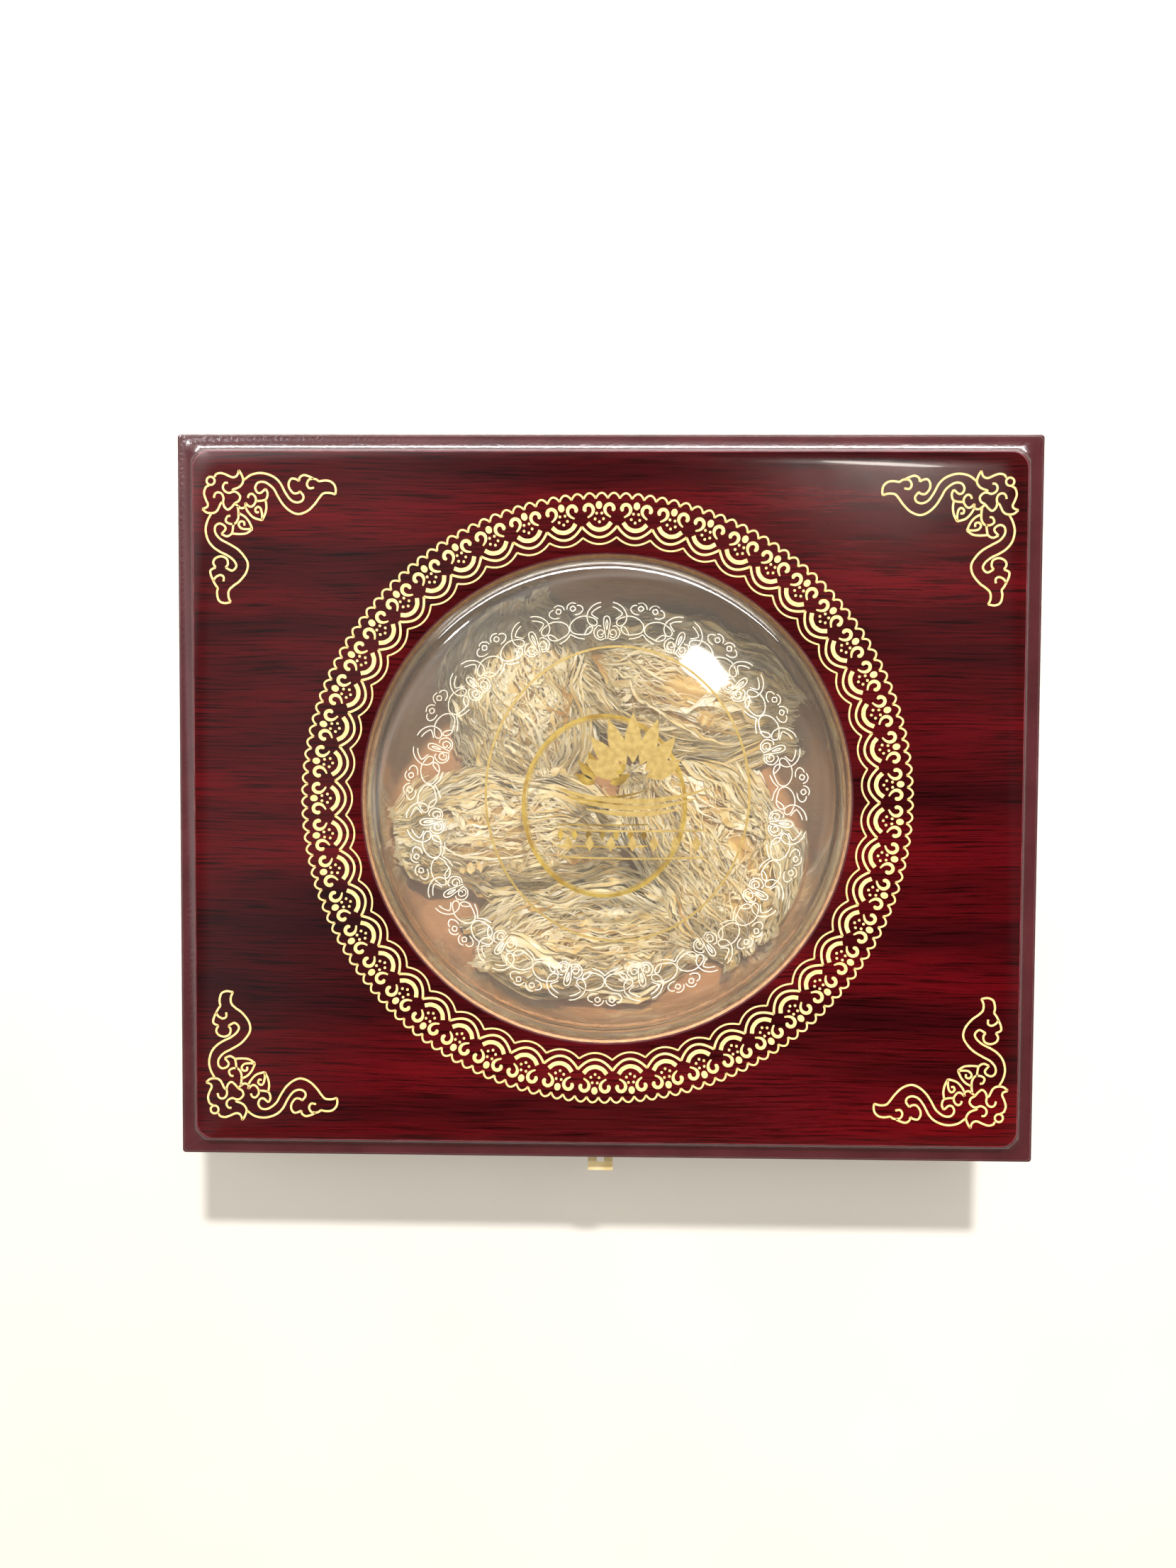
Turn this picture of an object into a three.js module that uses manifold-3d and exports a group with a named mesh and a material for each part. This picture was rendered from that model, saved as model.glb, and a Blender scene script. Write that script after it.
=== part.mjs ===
// A hinged wooden presentation box that holds five dried swiftlet nests in a round clear container,
// under a clear domed window let into the lid. Millimetres, +Z up, +Y towards the hinges.
// The origin is the middle of the flat underside that the box stands on.
import * as THREE from 'three';
import { mergeVertices } from 'three/addons/utils/BufferGeometryUtils.js';
import Module from 'manifold-3d';

const wasm = await Module();
wasm.setup();

// Box outline and the seams between glued or closing pieces
const BOX_WIDTH = 320;
const BOX_DEPTH = 270;
const GLUE_GAP = 0.3;
const LID_SEAM = 0.4;

// Facets round the clear pieces and round the window hole
const ROUND_FACETS = 48;
const WINDOW_FACETS = 72;

// Boards
const BOTTOM_THICKNESS = 10;
const BASE_WALL_HEIGHT = 44;
const LID_RIM_HEIGHT = 16;
const PANEL_THICKNESS = 12;
const WALL_THICKNESS = 9;
const WALL_INSET = 3.5;
const EDGE_BAND = 7.7;
const STEP_HEIGHT = 0.8;
const STEP_CORNER = 6;
const OUTER_CORNER = 1.2;

// Round window and its clear dome
const WINDOW_RADIUS = 90;
const DOME_WALL_RADIUS = 89.3;
const DOME_FLANGE_RADIUS = 100;
const DOME_SHEET = 1;
const DOME_RISE = 16;
const DOME_CROWN = 7.5;
const SHOULDER_RADIUS = 9;

// Padded insert and the clear container that stands in its well
const INSERT_HEIGHT = 39;
const INSERT_CLEARANCE = 1;
const INSERT_EDGE = 3;
const INSERT_CORNER = 2;
const WELL_RADIUS = 95.5;
const WELL_FLOOR = 2;
const TRAY_SHEET = 1.2;
const TRAY_RADIUS = 94;
const TRAY_FLANGE_RADIUS = 100;
const TRAY_TAPER = 3;
const TRAY_CORNER = 4;
const COVER_RISE = 6;
const COVER_DISC_RADIUS = 60.3;
const COVER_DISC_RISE = 1;
const COVER_TAPER = 2;

// Hinges on the back
const HINGE_SPREAD = 98;
const HINGE_LENGTH = 24;
const LEAF_HEIGHT = 9;
const LEAF_THICKNESS = 0.8;
const KNUCKLE_RADIUS = 1.9;
const PIN_RADIUS = 0.8;
const KNUCKLE_CLEARANCE = 0.1;
const RUNNING_GAP = 0.35;
const SCREW_RADIUS = 1.7;
const HINGE_SCREW_OFFSET = 8;

// Latch on the front
const LATCH_X = -1.5;
const HASP_WIDTH = 9.5;
const HASP_THICKNESS = 0.9;
const LATCH_PLATE_WIDTH = 15;
const LATCH_BARREL_RADIUS = 1.6;
const HASP_REACH = 9.2;
const HASP_RISE = 14.6;
const HASP_SLOT_WIDTH = 2.8;
const HASP_SLOT_HEIGHT = 7;
const HASP_SLOT_LEVEL = 10.4;
const LATCH_PIN_DROP = 2;
const BASE_PLATE_HEIGHT = 9;
const HOOK_PLATE_HEIGHT = 9.5;
const HOOK_WIDTH = 2.6;
const HOOK_REACH = 4.2;
const HOOK_LEVEL = 10.6;
const LATCH_SCREW_OFFSET = 4.2;

// Levels up the box
const wallBottom = BOTTOM_THICKNESS + GLUE_GAP;
const wallTop = wallBottom + BASE_WALL_HEIGHT;
const rimBottom = wallTop + LID_SEAM;
const rimTop = rimBottom + LID_RIM_HEIGHT;
const panelBottom = rimTop + GLUE_GAP;
const seamLevel = (wallTop + rimBottom) / 2;
const outerWidth = BOX_WIDTH - 2 * WALL_INSET;
const outerDepth = BOX_DEPTH - 2 * WALL_INSET;
const innerWidth = outerWidth - 2 * WALL_THICKNESS;
const innerDepth = outerDepth - 2 * WALL_THICKNESS;
const insertBottom = wallBottom;
const insertTop = insertBottom + INSERT_HEIGHT;
const trayBottom = insertBottom + WELL_FLOOR + GLUE_GAP;
const nestFloor = trayBottom + TRAY_SHEET + GLUE_GAP;
const flangeBottom = insertTop + GLUE_GAP;
const coverFlangeBottom = flangeBottom + TRAY_SHEET + GLUE_GAP;

// Finishes
const FINISH = {
  satinPaint: { color: 0x5e2f36, roughness: 0.45, metalness: 0 },
  woodFilm: { color: 0x5a0d1a, roughness: 0.15, metalness: 0 },
  satinCloth: { color: 0x8a5a32, roughness: 0.6, metalness: 0 },
  clearSheet: { color: 0xe9ecec, roughness: 0.05, metalness: 0, transparent: true, opacity: 0.3 },
  nest: { color: 0xd9c9a4, roughness: 0.5, metalness: 0 },
  brass: { color: 0xd8b45a, roughness: 0.25, metalness: 1 },
};

const box = new THREE.Group();

function add(name, geometry, finish, x = 0, y = 0, z = 0) {
  const mesh = new THREE.Mesh(geometry, new THREE.MeshStandardMaterial(FINISH[finish]));
  mesh.name = name;
  mesh.position.set(x, y, z);
  box.add(mesh);
  return mesh;
}

// Booleans

function solid(geometry) {
  const bare = geometry.clone();
  bare.deleteAttribute('normal');
  bare.deleteAttribute('uv');
  const merged = mergeVertices(bare, 1e-4);
  return new wasm.Manifold(
    new wasm.Mesh({
      numProp: 3,
      vertProperties: new Float32Array(merged.attributes.position.array),
      triVerts: new Uint32Array(merged.index.array),
    }),
  );
}

function geometryOf(manifold) {
  const { vertProperties, triVerts } = manifold.getMesh();
  const geometry = new THREE.BufferGeometry();
  geometry.setAttribute('position', new THREE.BufferAttribute(new Float32Array(vertProperties), 3));
  geometry.setIndex(new THREE.BufferAttribute(new Uint32Array(triVerts), 1));
  geometry.computeVertexNormals();
  return geometry;
}

// Shapes shared by several pieces

// A closed solid of revolution about Z. The profile lists [radius, height], starting and ending on
// the axis or closing on itself, with the material on its left.
function turned(profile, segments) {
  const points = profile.map(([radius, height]) => new THREE.Vector2(radius, height));
  return new THREE.LatheGeometry(points, segments).rotateX(Math.PI / 2);
}

// A bar of the outline drawn in (y, z), extruded along X and centred on it
function barAlongX(outline, length) {
  const shape = new THREE.Shape(outline.map(([y, z]) => new THREE.Vector2(y, z)));
  const bar = new THREE.ExtrudeGeometry(shape, { depth: length, bevelEnabled: false, curveSegments: 6 });
  bar.translate(0, 0, -length / 2);
  return bar.rotateZ(Math.PI / 2).rotateY(Math.PI / 2);
}

function rodAlongX(radius, length, sides) {
  return new THREE.CylinderGeometry(radius, radius, length, sides).rotateZ(Math.PI / 2);
}

// One loop of a rectangle with rounded corners, anticlockwise seen from above
function roundedLoop(width, depth, radius, z, cornerSteps) {
  const loop = [];
  const centres = [
    [1, 1],
    [-1, 1],
    [-1, -1],
    [1, -1],
  ];
  centres.forEach(([sx, sy], corner) => {
    for (let k = 0; k <= cornerSteps; k += 1) {
      const angle = ((corner + k / cornerSteps) * Math.PI) / 2;
      const x = sx * (width / 2 - radius) + radius * Math.cos(angle);
      const y = sy * (depth / 2 - radius) + radius * Math.sin(angle);
      loop.push([x, y, z]);
    }
  });
  return loop;
}

// A closed skin over loops that all have the same number of points, stacked from the bottom up
function loftedLoops(loops) {
  const count = loops[0].length;
  const positions = loops.flat();
  const index = [];
  for (let level = 0; level + 1 < loops.length; level += 1) {
    for (let k = 0; k < count; k += 1) {
      const next = (k + 1) % count;
      const a = level * count + k;
      const b = level * count + next;
      index.push(a, b, b + count, a, b + count, a + count);
    }
  }
  const lastRing = (loops.length - 1) * count;
  for (let k = 1; k + 1 < count; k += 1) {
    index.push(0, k + 1, k);
    index.push(lastRing, lastRing + k, lastRing + k + 1);
  }
  const geometry = new THREE.BufferGeometry();
  geometry.setAttribute('position', new THREE.Float32BufferAttribute(positions.flat(), 3));
  geometry.setIndex(index);
  geometry.computeVertexNormals();
  return geometry;
}

// Edge profile of the lid panel and the bottom board: a flat face, a small step, a cove and a
// rounded outer edge. Each entry is [inset from the outline, drop from the face, corner radius].
function mouldedEdge(thickness) {
  const coveSteps = 5;
  const coveTop = STEP_HEIGHT + 0.3;
  const coveDrop = 4.6;
  const coveWidth = EDGE_BAND - 1.4;
  const cove = [];
  for (let k = 0; k <= coveSteps; k += 1) {
    const angle = (k / coveSteps) * (Math.PI / 2);
    const inset = EDGE_BAND - 0.4 - coveWidth * (1 - Math.cos(angle));
    const drop = coveTop + coveDrop * Math.sin(angle);
    const corner = STEP_CORNER + (OUTER_CORNER - STEP_CORNER) * (k / coveSteps);
    cove.push([inset, drop, corner]);
  }
  return [
    [EDGE_BAND, 0, STEP_CORNER],
    [EDGE_BAND - 0.3, STEP_HEIGHT, STEP_CORNER],
    ...cove,
    [0.3, coveTop + coveDrop + 0.3, OUTER_CORNER],
    [0, coveTop + coveDrop + 0.9, OUTER_CORNER],
    [0, thickness - 0.8, OUTER_CORNER],
    [0.8, thickness, OUTER_CORNER],
  ];
}

// A board with the moulded edge, its plain face at z = 0 and its moulded face up
function mouldedBoard(thickness) {
  const cornerSteps = 4;
  const loops = mouldedEdge(thickness).map(([inset, drop, radius]) =>
    roundedLoop(BOX_WIDTH - 2 * inset, BOX_DEPTH - 2 * inset, radius, thickness - drop, cornerSteps),
  );
  return loftedLoops(loops.reverse());
}

// One wall board with mitred ends. Its outer face is on the -Y side of the box centre.
function mitredBoard(length, reach, height) {
  const outer = length / 2 - GLUE_GAP / 2;
  const inner = outer - WALL_THICKNESS;
  const shape = new THREE.Shape([
    new THREE.Vector2(-outer, -reach),
    new THREE.Vector2(outer, -reach),
    new THREE.Vector2(inner, -reach + WALL_THICKNESS),
    new THREE.Vector2(-inner, -reach + WALL_THICKNESS),
  ]);
  return new THREE.ExtrudeGeometry(shape, { depth: height, bevelEnabled: false });
}

function addWalls(prefix, bottom, height) {
  const sides = [
    ['front', outerWidth, outerDepth / 2, 0],
    ['right', outerDepth, outerWidth / 2, Math.PI / 2],
    ['back', outerWidth, outerDepth / 2, Math.PI],
    ['left', outerDepth, outerWidth / 2, -Math.PI / 2],
  ];
  sides.forEach(([side, length, reach, turn]) => {
    const board = add(`${prefix}_${side}`, mitredBoard(length, reach, height), 'woodFilm', 0, 0, bottom);
    board.rotation.z = turn;
  });
}

// Base

const bottomBoard = mouldedBoard(BOTTOM_THICKNESS).rotateX(Math.PI).translate(0, 0, BOTTOM_THICKNESS);
add('bottom_board', bottomBoard, 'satinPaint');
addWalls('base_wall', wallBottom, BASE_WALL_HEIGHT);

function insertGeometry() {
  const edge = INSERT_EDGE;
  const width = innerWidth - INSERT_CLEARANCE;
  const depth = innerDepth - INSERT_CLEARANCE;
  const loops = [
    [0, 0],
    [0, INSERT_HEIGHT - edge],
    [edge * 0.3, INSERT_HEIGHT - edge * 0.3],
    [edge, INSERT_HEIGHT],
  ].map(([inset, z]) => roundedLoop(width - 2 * inset, depth - 2 * inset, INSERT_CORNER, z, 2));
  const block = solid(loftedLoops(loops));
  const lip = INSERT_EDGE;
  const well = turned(
    [
      [0, WELL_FLOOR],
      [WELL_RADIUS, WELL_FLOOR],
      [WELL_RADIUS, INSERT_HEIGHT - lip],
      [WELL_RADIUS + lip * 0.3, INSERT_HEIGHT - lip * 0.3],
      [WELL_RADIUS + lip, INSERT_HEIGHT],
      [WELL_RADIUS + lip, INSERT_HEIGHT + lip],
      [0, INSERT_HEIGHT + lip],
    ],
    ROUND_FACETS,
  );
  return geometryOf(block.subtract(solid(well)));
}

add('satin_insert', insertGeometry(), 'satinCloth', 0, 0, insertBottom);

// Clear container: a round tray with a flange that lies on the insert, and a shallow cover on it

function trayGeometry() {
  const rise = flangeBottom - trayBottom;
  const floorRadius = TRAY_RADIUS - TRAY_TAPER;
  const corner = TRAY_CORNER;
  return turned(
    [
      [0, 0],
      [floorRadius - corner, 0],
      [floorRadius - corner * 0.3, corner * 0.3],
      [floorRadius, corner],
      [TRAY_RADIUS, rise],
      [TRAY_FLANGE_RADIUS, rise],
      [TRAY_FLANGE_RADIUS, rise + TRAY_SHEET],
      [TRAY_RADIUS - TRAY_SHEET, rise + TRAY_SHEET],
      [floorRadius - TRAY_SHEET, corner + TRAY_SHEET * 0.6],
      [floorRadius - corner * 0.3 - TRAY_SHEET * 0.8, corner * 0.3 + TRAY_SHEET * 0.8],
      [floorRadius - corner - TRAY_SHEET * 0.4, TRAY_SHEET],
      [0, TRAY_SHEET],
    ],
    ROUND_FACETS,
  );
}

add('container_tray', trayGeometry(), 'clearSheet', 0, 0, trayBottom);

function coverGeometry() {
  const wallFoot = TRAY_RADIUS - COVER_TAPER;
  const wallHead = wallFoot - COVER_TAPER;
  const step = COVER_DISC_RADIUS;
  return turned(
    [
      [0, COVER_RISE + COVER_DISC_RISE],
      [step - TRAY_SHEET, COVER_RISE + COVER_DISC_RISE],
      [step, COVER_RISE],
      [wallHead - TRAY_SHEET - 1, COVER_RISE],
      [wallFoot - TRAY_SHEET, 0],
      [TRAY_FLANGE_RADIUS - 0.5, 0],
      [TRAY_FLANGE_RADIUS - 0.5, TRAY_SHEET],
      [wallFoot, TRAY_SHEET],
      [wallHead, COVER_RISE + TRAY_SHEET - 1],
      [wallHead - 1, COVER_RISE + TRAY_SHEET],
      [step, COVER_RISE + TRAY_SHEET],
      [step - TRAY_SHEET, COVER_RISE + COVER_DISC_RISE + TRAY_SHEET],
      [0, COVER_RISE + COVER_DISC_RISE + TRAY_SHEET],
    ],
    ROUND_FACETS,
  );
}

add('container_cover', coverGeometry(), 'clearSheet', 0, 0, coverFlangeBottom);

// Nests. Each is a half cup pressed into a boat shape, lying with its woven outside up.
// [name, centre x, centre y, direction of its length in degrees, length, width, height, bend]
const NESTS = [
  ['nest_upper_left', -35, 42, 98.5, 71.5, 49, 29, 5],
  ['nest_upper_right', 32.5, 44.5, -17, 88, 48, 28, -4],
  ['nest_left', -42, -18, -1, 88, 42.5, 30, 5],
  ['nest_right', 43.5, -24.5, 119, 84, 51, 29, -5],
  ['nest_lower', -9.5, -62, 4, 85, 41.5, 28, 4],
];

// Rings along the nest, each a crowned section with a flat foot. The middle line bends sideways,
// the ends taper and sink, and ridges run along it like its layered strands.
function nestGeometry(length, width, height, bend, phase) {
  const ringCount = 15;
  const around = 18;
  const ridgeDepth = 0.07;
  const loops = [];
  for (let i = 0; i < ringCount; i += 1) {
    const t = -0.985 + (1.97 * i) / (ringCount - 1);
    const taper = Math.pow(1 - Math.pow(Math.abs(t), 2.6), 0.55);
    const lift = 0.55 + 0.45 * taper;
    const sideways = bend * (1 - t * t) - bend / 2;
    const ring = [];
    for (let k = 0; k < around; k += 1) {
      const angle = (2 * Math.PI * k) / around;
      const ridge = 1 - ridgeDepth + ridgeDepth * Math.cos(5 * angle + 2.2 * t + phase);
      const lump = 1 + 0.04 * Math.sin(7 * t + 2 * angle + phase);
      const across = 0.5 * width * taper * ridge * lump * Math.cos(angle);
      const crown = Math.sin(angle) > 0 ? Math.pow(Math.sin(angle), 0.9) : 0.25 * Math.sin(angle);
      const up = 0.18 + 0.8 * crown * ridge;
      ring.push([(t * length) / 2, sideways + across, height * lift * taper * up]);
    }
    loops.push(ring);
  }
  const geometry = loftedRings(loops);
  geometry.computeBoundingBox();
  return geometry.translate(0, 0, -geometry.boundingBox.min.z);
}

// A closed skin over rings that follow each other along X
function loftedRings(rings) {
  const count = rings[0].length;
  const index = [];
  for (let ring = 0; ring + 1 < rings.length; ring += 1) {
    for (let k = 0; k < count; k += 1) {
      const next = (k + 1) % count;
      const a = ring * count + k;
      const b = ring * count + next;
      index.push(a, b + count, a + count, a, b, b + count);
    }
  }
  const positions = rings.flat();
  const middles = [rings[0], rings[rings.length - 1]].map((ring) =>
    [0, 1, 2].map((axis) => ring.reduce((sum, point) => sum + point[axis], 0) / count),
  );
  const firstMiddle = positions.length;
  const lastMiddle = firstMiddle + 1;
  const lastRing = (rings.length - 1) * count;
  for (let k = 0; k < count; k += 1) {
    const next = (k + 1) % count;
    index.push(firstMiddle, next, k);
    index.push(lastMiddle, lastRing + k, lastRing + next);
  }
  const geometry = new THREE.BufferGeometry();
  const all = [...positions, ...middles].flat();
  geometry.setAttribute('position', new THREE.Float32BufferAttribute(all, 3));
  geometry.setIndex(index);
  geometry.computeVertexNormals();
  return geometry;
}

NESTS.forEach(([name, x, y, direction, length, width, height, bend], i) => {
  const nest = add(name, nestGeometry(length, width, height, bend, 1.3 * i), 'nest', x, y, nestFloor);
  nest.rotation.z = THREE.MathUtils.degToRad(direction);
});

// Lid

addWalls('lid_rim', rimBottom, LID_RIM_HEIGHT);

function lidPanelGeometry() {
  const chamfer = 0.6;
  const cutter = turned(
    [
      [0, -1],
      [WINDOW_RADIUS, -1],
      [WINDOW_RADIUS, PANEL_THICKNESS - chamfer],
      [WINDOW_RADIUS + chamfer, PANEL_THICKNESS],
      [WINDOW_RADIUS + chamfer, PANEL_THICKNESS + 1],
      [0, PANEL_THICKNESS + 1],
    ],
    WINDOW_FACETS,
  );
  return geometryOf(solid(mouldedBoard(PANEL_THICKNESS)).subtract(solid(cutter)));
}

add('lid_panel', lidPanelGeometry(), 'woodFilm', 0, 0, panelBottom);

// Height of the dome's outside above its flange, for a radius out to the wall: a shallow crown that
// turns down over a round shoulder
function domeSkin(radius, sheetInset) {
  const wall = DOME_WALL_RADIUS - sheetInset;
  const shoulder = SHOULDER_RADIUS - sheetInset;
  const shoulderStart = wall - shoulder;
  const top = GLUE_GAP + PANEL_THICKNESS + DOME_RISE - sheetInset;
  const crown = DOME_CROWN * Math.pow(Math.min(radius / shoulderStart, 1), 2);
  const over = Math.max(0, radius - shoulderStart) / shoulder;
  const drop = shoulder * (1 - Math.sqrt(Math.max(0, 1 - over * over)));
  return top - crown - drop;
}

// Radii along the skin from the axis to the wall, closer together over the shoulder
function domeRadii(sheetInset) {
  const wall = DOME_WALL_RADIUS - sheetInset;
  const shoulder = SHOULDER_RADIUS - sheetInset;
  const radii = [0, 22, 44, 64, wall - shoulder];
  for (let k = 1; k <= 4; k += 1) {
    radii.push(wall - shoulder + shoulder * Math.sin((k * Math.PI) / 8));
  }
  return radii;
}

function domeGeometry() {
  const skin = (sheetInset) => domeRadii(sheetInset).map((radius) => [radius, domeSkin(radius, sheetInset)]);
  return turned(
    [
      ...skin(DOME_SHEET),
      [DOME_WALL_RADIUS - DOME_SHEET, -DOME_SHEET],
      [DOME_FLANGE_RADIUS, -DOME_SHEET],
      [DOME_FLANGE_RADIUS, 0],
      [DOME_WALL_RADIUS, 0],
      ...skin(0).reverse(),
    ],
    ROUND_FACETS,
  );
}

add('window_dome', domeGeometry(), 'clearSheet', 0, 0, rimTop);

// Butt hinges, screwed to the back of the base and of the lid rim. The middle knuckle is the lid's.

const backFace = outerDepth / 2;
const hingeY = backFace + GLUE_GAP + KNUCKLE_RADIUS + KNUCKLE_CLEARANCE;
const leafInside = -KNUCKLE_RADIUS - KNUCKLE_CLEARANCE;
const leafCentre = leafInside + LEAF_THICKNESS / 2;
const thirdOfHinge = HINGE_LENGTH / 3;

function leafPlate(direction) {
  const foot = KNUCKLE_RADIUS + RUNNING_GAP;
  const plate = new THREE.BoxGeometry(HINGE_LENGTH, LEAF_THICKNESS, LEAF_HEIGHT - foot);
  return plate.translate(0, leafCentre, (direction * (LEAF_HEIGHT + foot)) / 2);
}

// The web that joins a leaf to one of its knuckles, and the knuckle
function knuckle(direction, x, length) {
  const overlap = 0.5;
  const reach = KNUCKLE_RADIUS + RUNNING_GAP + overlap;
  const web = new THREE.BoxGeometry(length, LEAF_THICKNESS, reach);
  web.translate(x, leafCentre, (direction * reach) / 2);
  const barrel = rodAlongX(KNUCKLE_RADIUS, length, 14).translate(x, 0, 0);
  return solid(web).add(solid(barrel));
}

function baseLeaf() {
  const side = thirdOfHinge - RUNNING_GAP;
  const offset = (HINGE_LENGTH - side) / 2;
  return geometryOf(
    solid(leafPlate(-1))
      .add(knuckle(-1, -offset, side))
      .add(knuckle(-1, offset, side))
      .add(solid(rodAlongX(PIN_RADIUS, HINGE_LENGTH + 1, 12))),
  );
}

function lidLeaf() {
  const bore = rodAlongX(PIN_RADIUS + RUNNING_GAP, HINGE_LENGTH, 12);
  return geometryOf(solid(leafPlate(1)).add(knuckle(1, 0, thirdOfHinge - RUNNING_GAP)).subtract(solid(bore)));
}

// A round-headed screw seen from outside: only its head stands on the plate
function screwHead(towardsBack) {
  const radius = SCREW_RADIUS;
  const head = turned(
    [
      [0, 0],
      [radius, 0],
      [radius * 0.85, 0.5],
      [radius * 0.4, 0.9],
      [0, 1],
    ],
    10,
  );
  return head.rotateX(towardsBack ? -Math.PI / 2 : Math.PI / 2);
}

const leafMiddle = (LEAF_HEIGHT + KNUCKLE_RADIUS + RUNNING_GAP) / 2;
const leafFace = hingeY + leafInside + LEAF_THICKNESS;
[
  ['left', -1],
  ['right', 1],
].forEach(([side, sign]) => {
  const x = sign * HINGE_SPREAD;
  add(`hinge_base_leaf_${side}`, baseLeaf(), 'brass', x, hingeY, seamLevel);
  add(`hinge_lid_leaf_${side}`, lidLeaf(), 'brass', x, hingeY, seamLevel);
  [-1, 1].forEach((end) => {
    const which = end < 0 ? 'a' : 'b';
    const screwX = x + end * HINGE_SCREW_OFFSET;
    const screwY = leafFace + GLUE_GAP;
    add(`hinge_base_screw_${side}_${which}`, screwHead(true), 'brass', screwX, screwY, seamLevel - leafMiddle);
    add(`hinge_lid_screw_${side}_${which}`, screwHead(true), 'brass', screwX, screwY, seamLevel + leafMiddle);
  });
});

// Latch: a hook plate on the lid rim, a plate with two barrels on the base, and the hasp that
// swings on it and lies in front of the hook, its free end turned out as a finger lip

const frontFace = -outerDepth / 2;
const plateY = frontFace - GLUE_GAP - LEAF_THICKNESS / 2;
const barrelY = frontFace - GLUE_GAP - LATCH_BARREL_RADIUS - LEAF_THICKNESS;
const barrelZ = wallTop - LATCH_PIN_DROP;
const barrelLength = (LATCH_PLATE_WIDTH - HASP_WIDTH) / 2 - RUNNING_GAP;

function latchBasePlate() {
  const aboveBarrel = 1.2;
  const plate = new THREE.BoxGeometry(LATCH_PLATE_WIDTH, LEAF_THICKNESS, BASE_PLATE_HEIGHT);
  plate.translate(0, plateY - barrelY, aboveBarrel - BASE_PLATE_HEIGHT / 2);
  let whole = solid(plate).add(solid(rodAlongX(PIN_RADIUS, LATCH_PLATE_WIDTH, 12)));
  [-1, 1].forEach((end) => {
    const x = (end * (LATCH_PLATE_WIDTH - barrelLength)) / 2;
    const barrel = rodAlongX(LATCH_BARREL_RADIUS, barrelLength, 12).translate(x, 0, 0);
    const bridgeDepth = plateY - barrelY;
    const bridge = new THREE.BoxGeometry(barrelLength, bridgeDepth, 1.6).translate(x, bridgeDepth / 2, 0);
    whole = whole.add(solid(barrel)).add(solid(bridge));
  });
  return geometryOf(whole);
}

function latchHookPlate() {
  const plate = new THREE.BoxGeometry(LATCH_PLATE_WIDTH - 2, LEAF_THICKNESS, HOOK_PLATE_HEIGHT);
  const nose = barAlongX(
    [
      [0, -1.6],
      [-HOOK_REACH + 0.9, -0.4],
      [-HOOK_REACH, 0.6],
      [-HOOK_REACH, 1.6],
      [-HOOK_REACH + 1, 1.5],
      [0, 0.6],
    ],
    HOOK_WIDTH,
  );
  return geometryOf(solid(plate).add(solid(nose)));
}

// The hasp's side outline, measured from its pin: barrel, straight blade, and lip
function haspGeometry() {
  const line = new THREE.CatmullRomCurve3(
    [
      [-1.1, 0.6],
      [-2.7, 3],
      [-3, 7],
      [-3.3, 10.4],
      [-5.2, 12.9],
      [-HASP_REACH, HASP_RISE],
    ].map(([y, z]) => new THREE.Vector3(0, y, z)),
  );
  const steps = 14;
  const left = [];
  const right = [];
  for (let k = 0; k <= steps; k += 1) {
    const point = line.getPoint(k / steps);
    const along = line.getTangent(k / steps);
    left.push([point.y - (along.z * HASP_THICKNESS) / 2, point.z + (along.y * HASP_THICKNESS) / 2]);
    right.push([point.y + (along.z * HASP_THICKNESS) / 2, point.z - (along.y * HASP_THICKNESS) / 2]);
  }
  const blank = barAlongX([...left, ...right.reverse()], HASP_WIDTH);
  const barrel = rodAlongX(LATCH_BARREL_RADIUS, HASP_WIDTH, 14);
  const bore = rodAlongX(PIN_RADIUS + RUNNING_GAP, HASP_WIDTH + 2, 12);
  const slot = new THREE.BoxGeometry(HASP_SLOT_WIDTH, 5, HASP_SLOT_HEIGHT);
  slot.translate(0, -HASP_REACH / 2 + 0.2, HASP_SLOT_LEVEL);
  return geometryOf(solid(blank).add(solid(barrel)).subtract(solid(bore)).subtract(solid(slot)));
}

const hookZ = barrelZ + HOOK_LEVEL;
const baseScrewDrop = 4.6;
const hookScrewRise = 2.2;
add('latch_base_plate', latchBasePlate(), 'brass', LATCH_X, barrelY, barrelZ);
add('latch_hook_plate', latchHookPlate(), 'brass', LATCH_X, plateY, hookZ);
add('latch_hasp', haspGeometry(), 'brass', LATCH_X, barrelY, barrelZ);
[-1, 1].forEach((end) => {
  const which = end < 0 ? 'a' : 'b';
  const x = LATCH_X + end * LATCH_SCREW_OFFSET;
  const y = plateY - LEAF_THICKNESS / 2 - GLUE_GAP;
  add(`latch_base_screw_${which}`, screwHead(false), 'brass', x, y, barrelZ - baseScrewDrop);
  add(`latch_hook_screw_${which}`, screwHead(false), 'brass', x, y, hookZ + hookScrewRise);
});

export default box;
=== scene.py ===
import math

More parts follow.
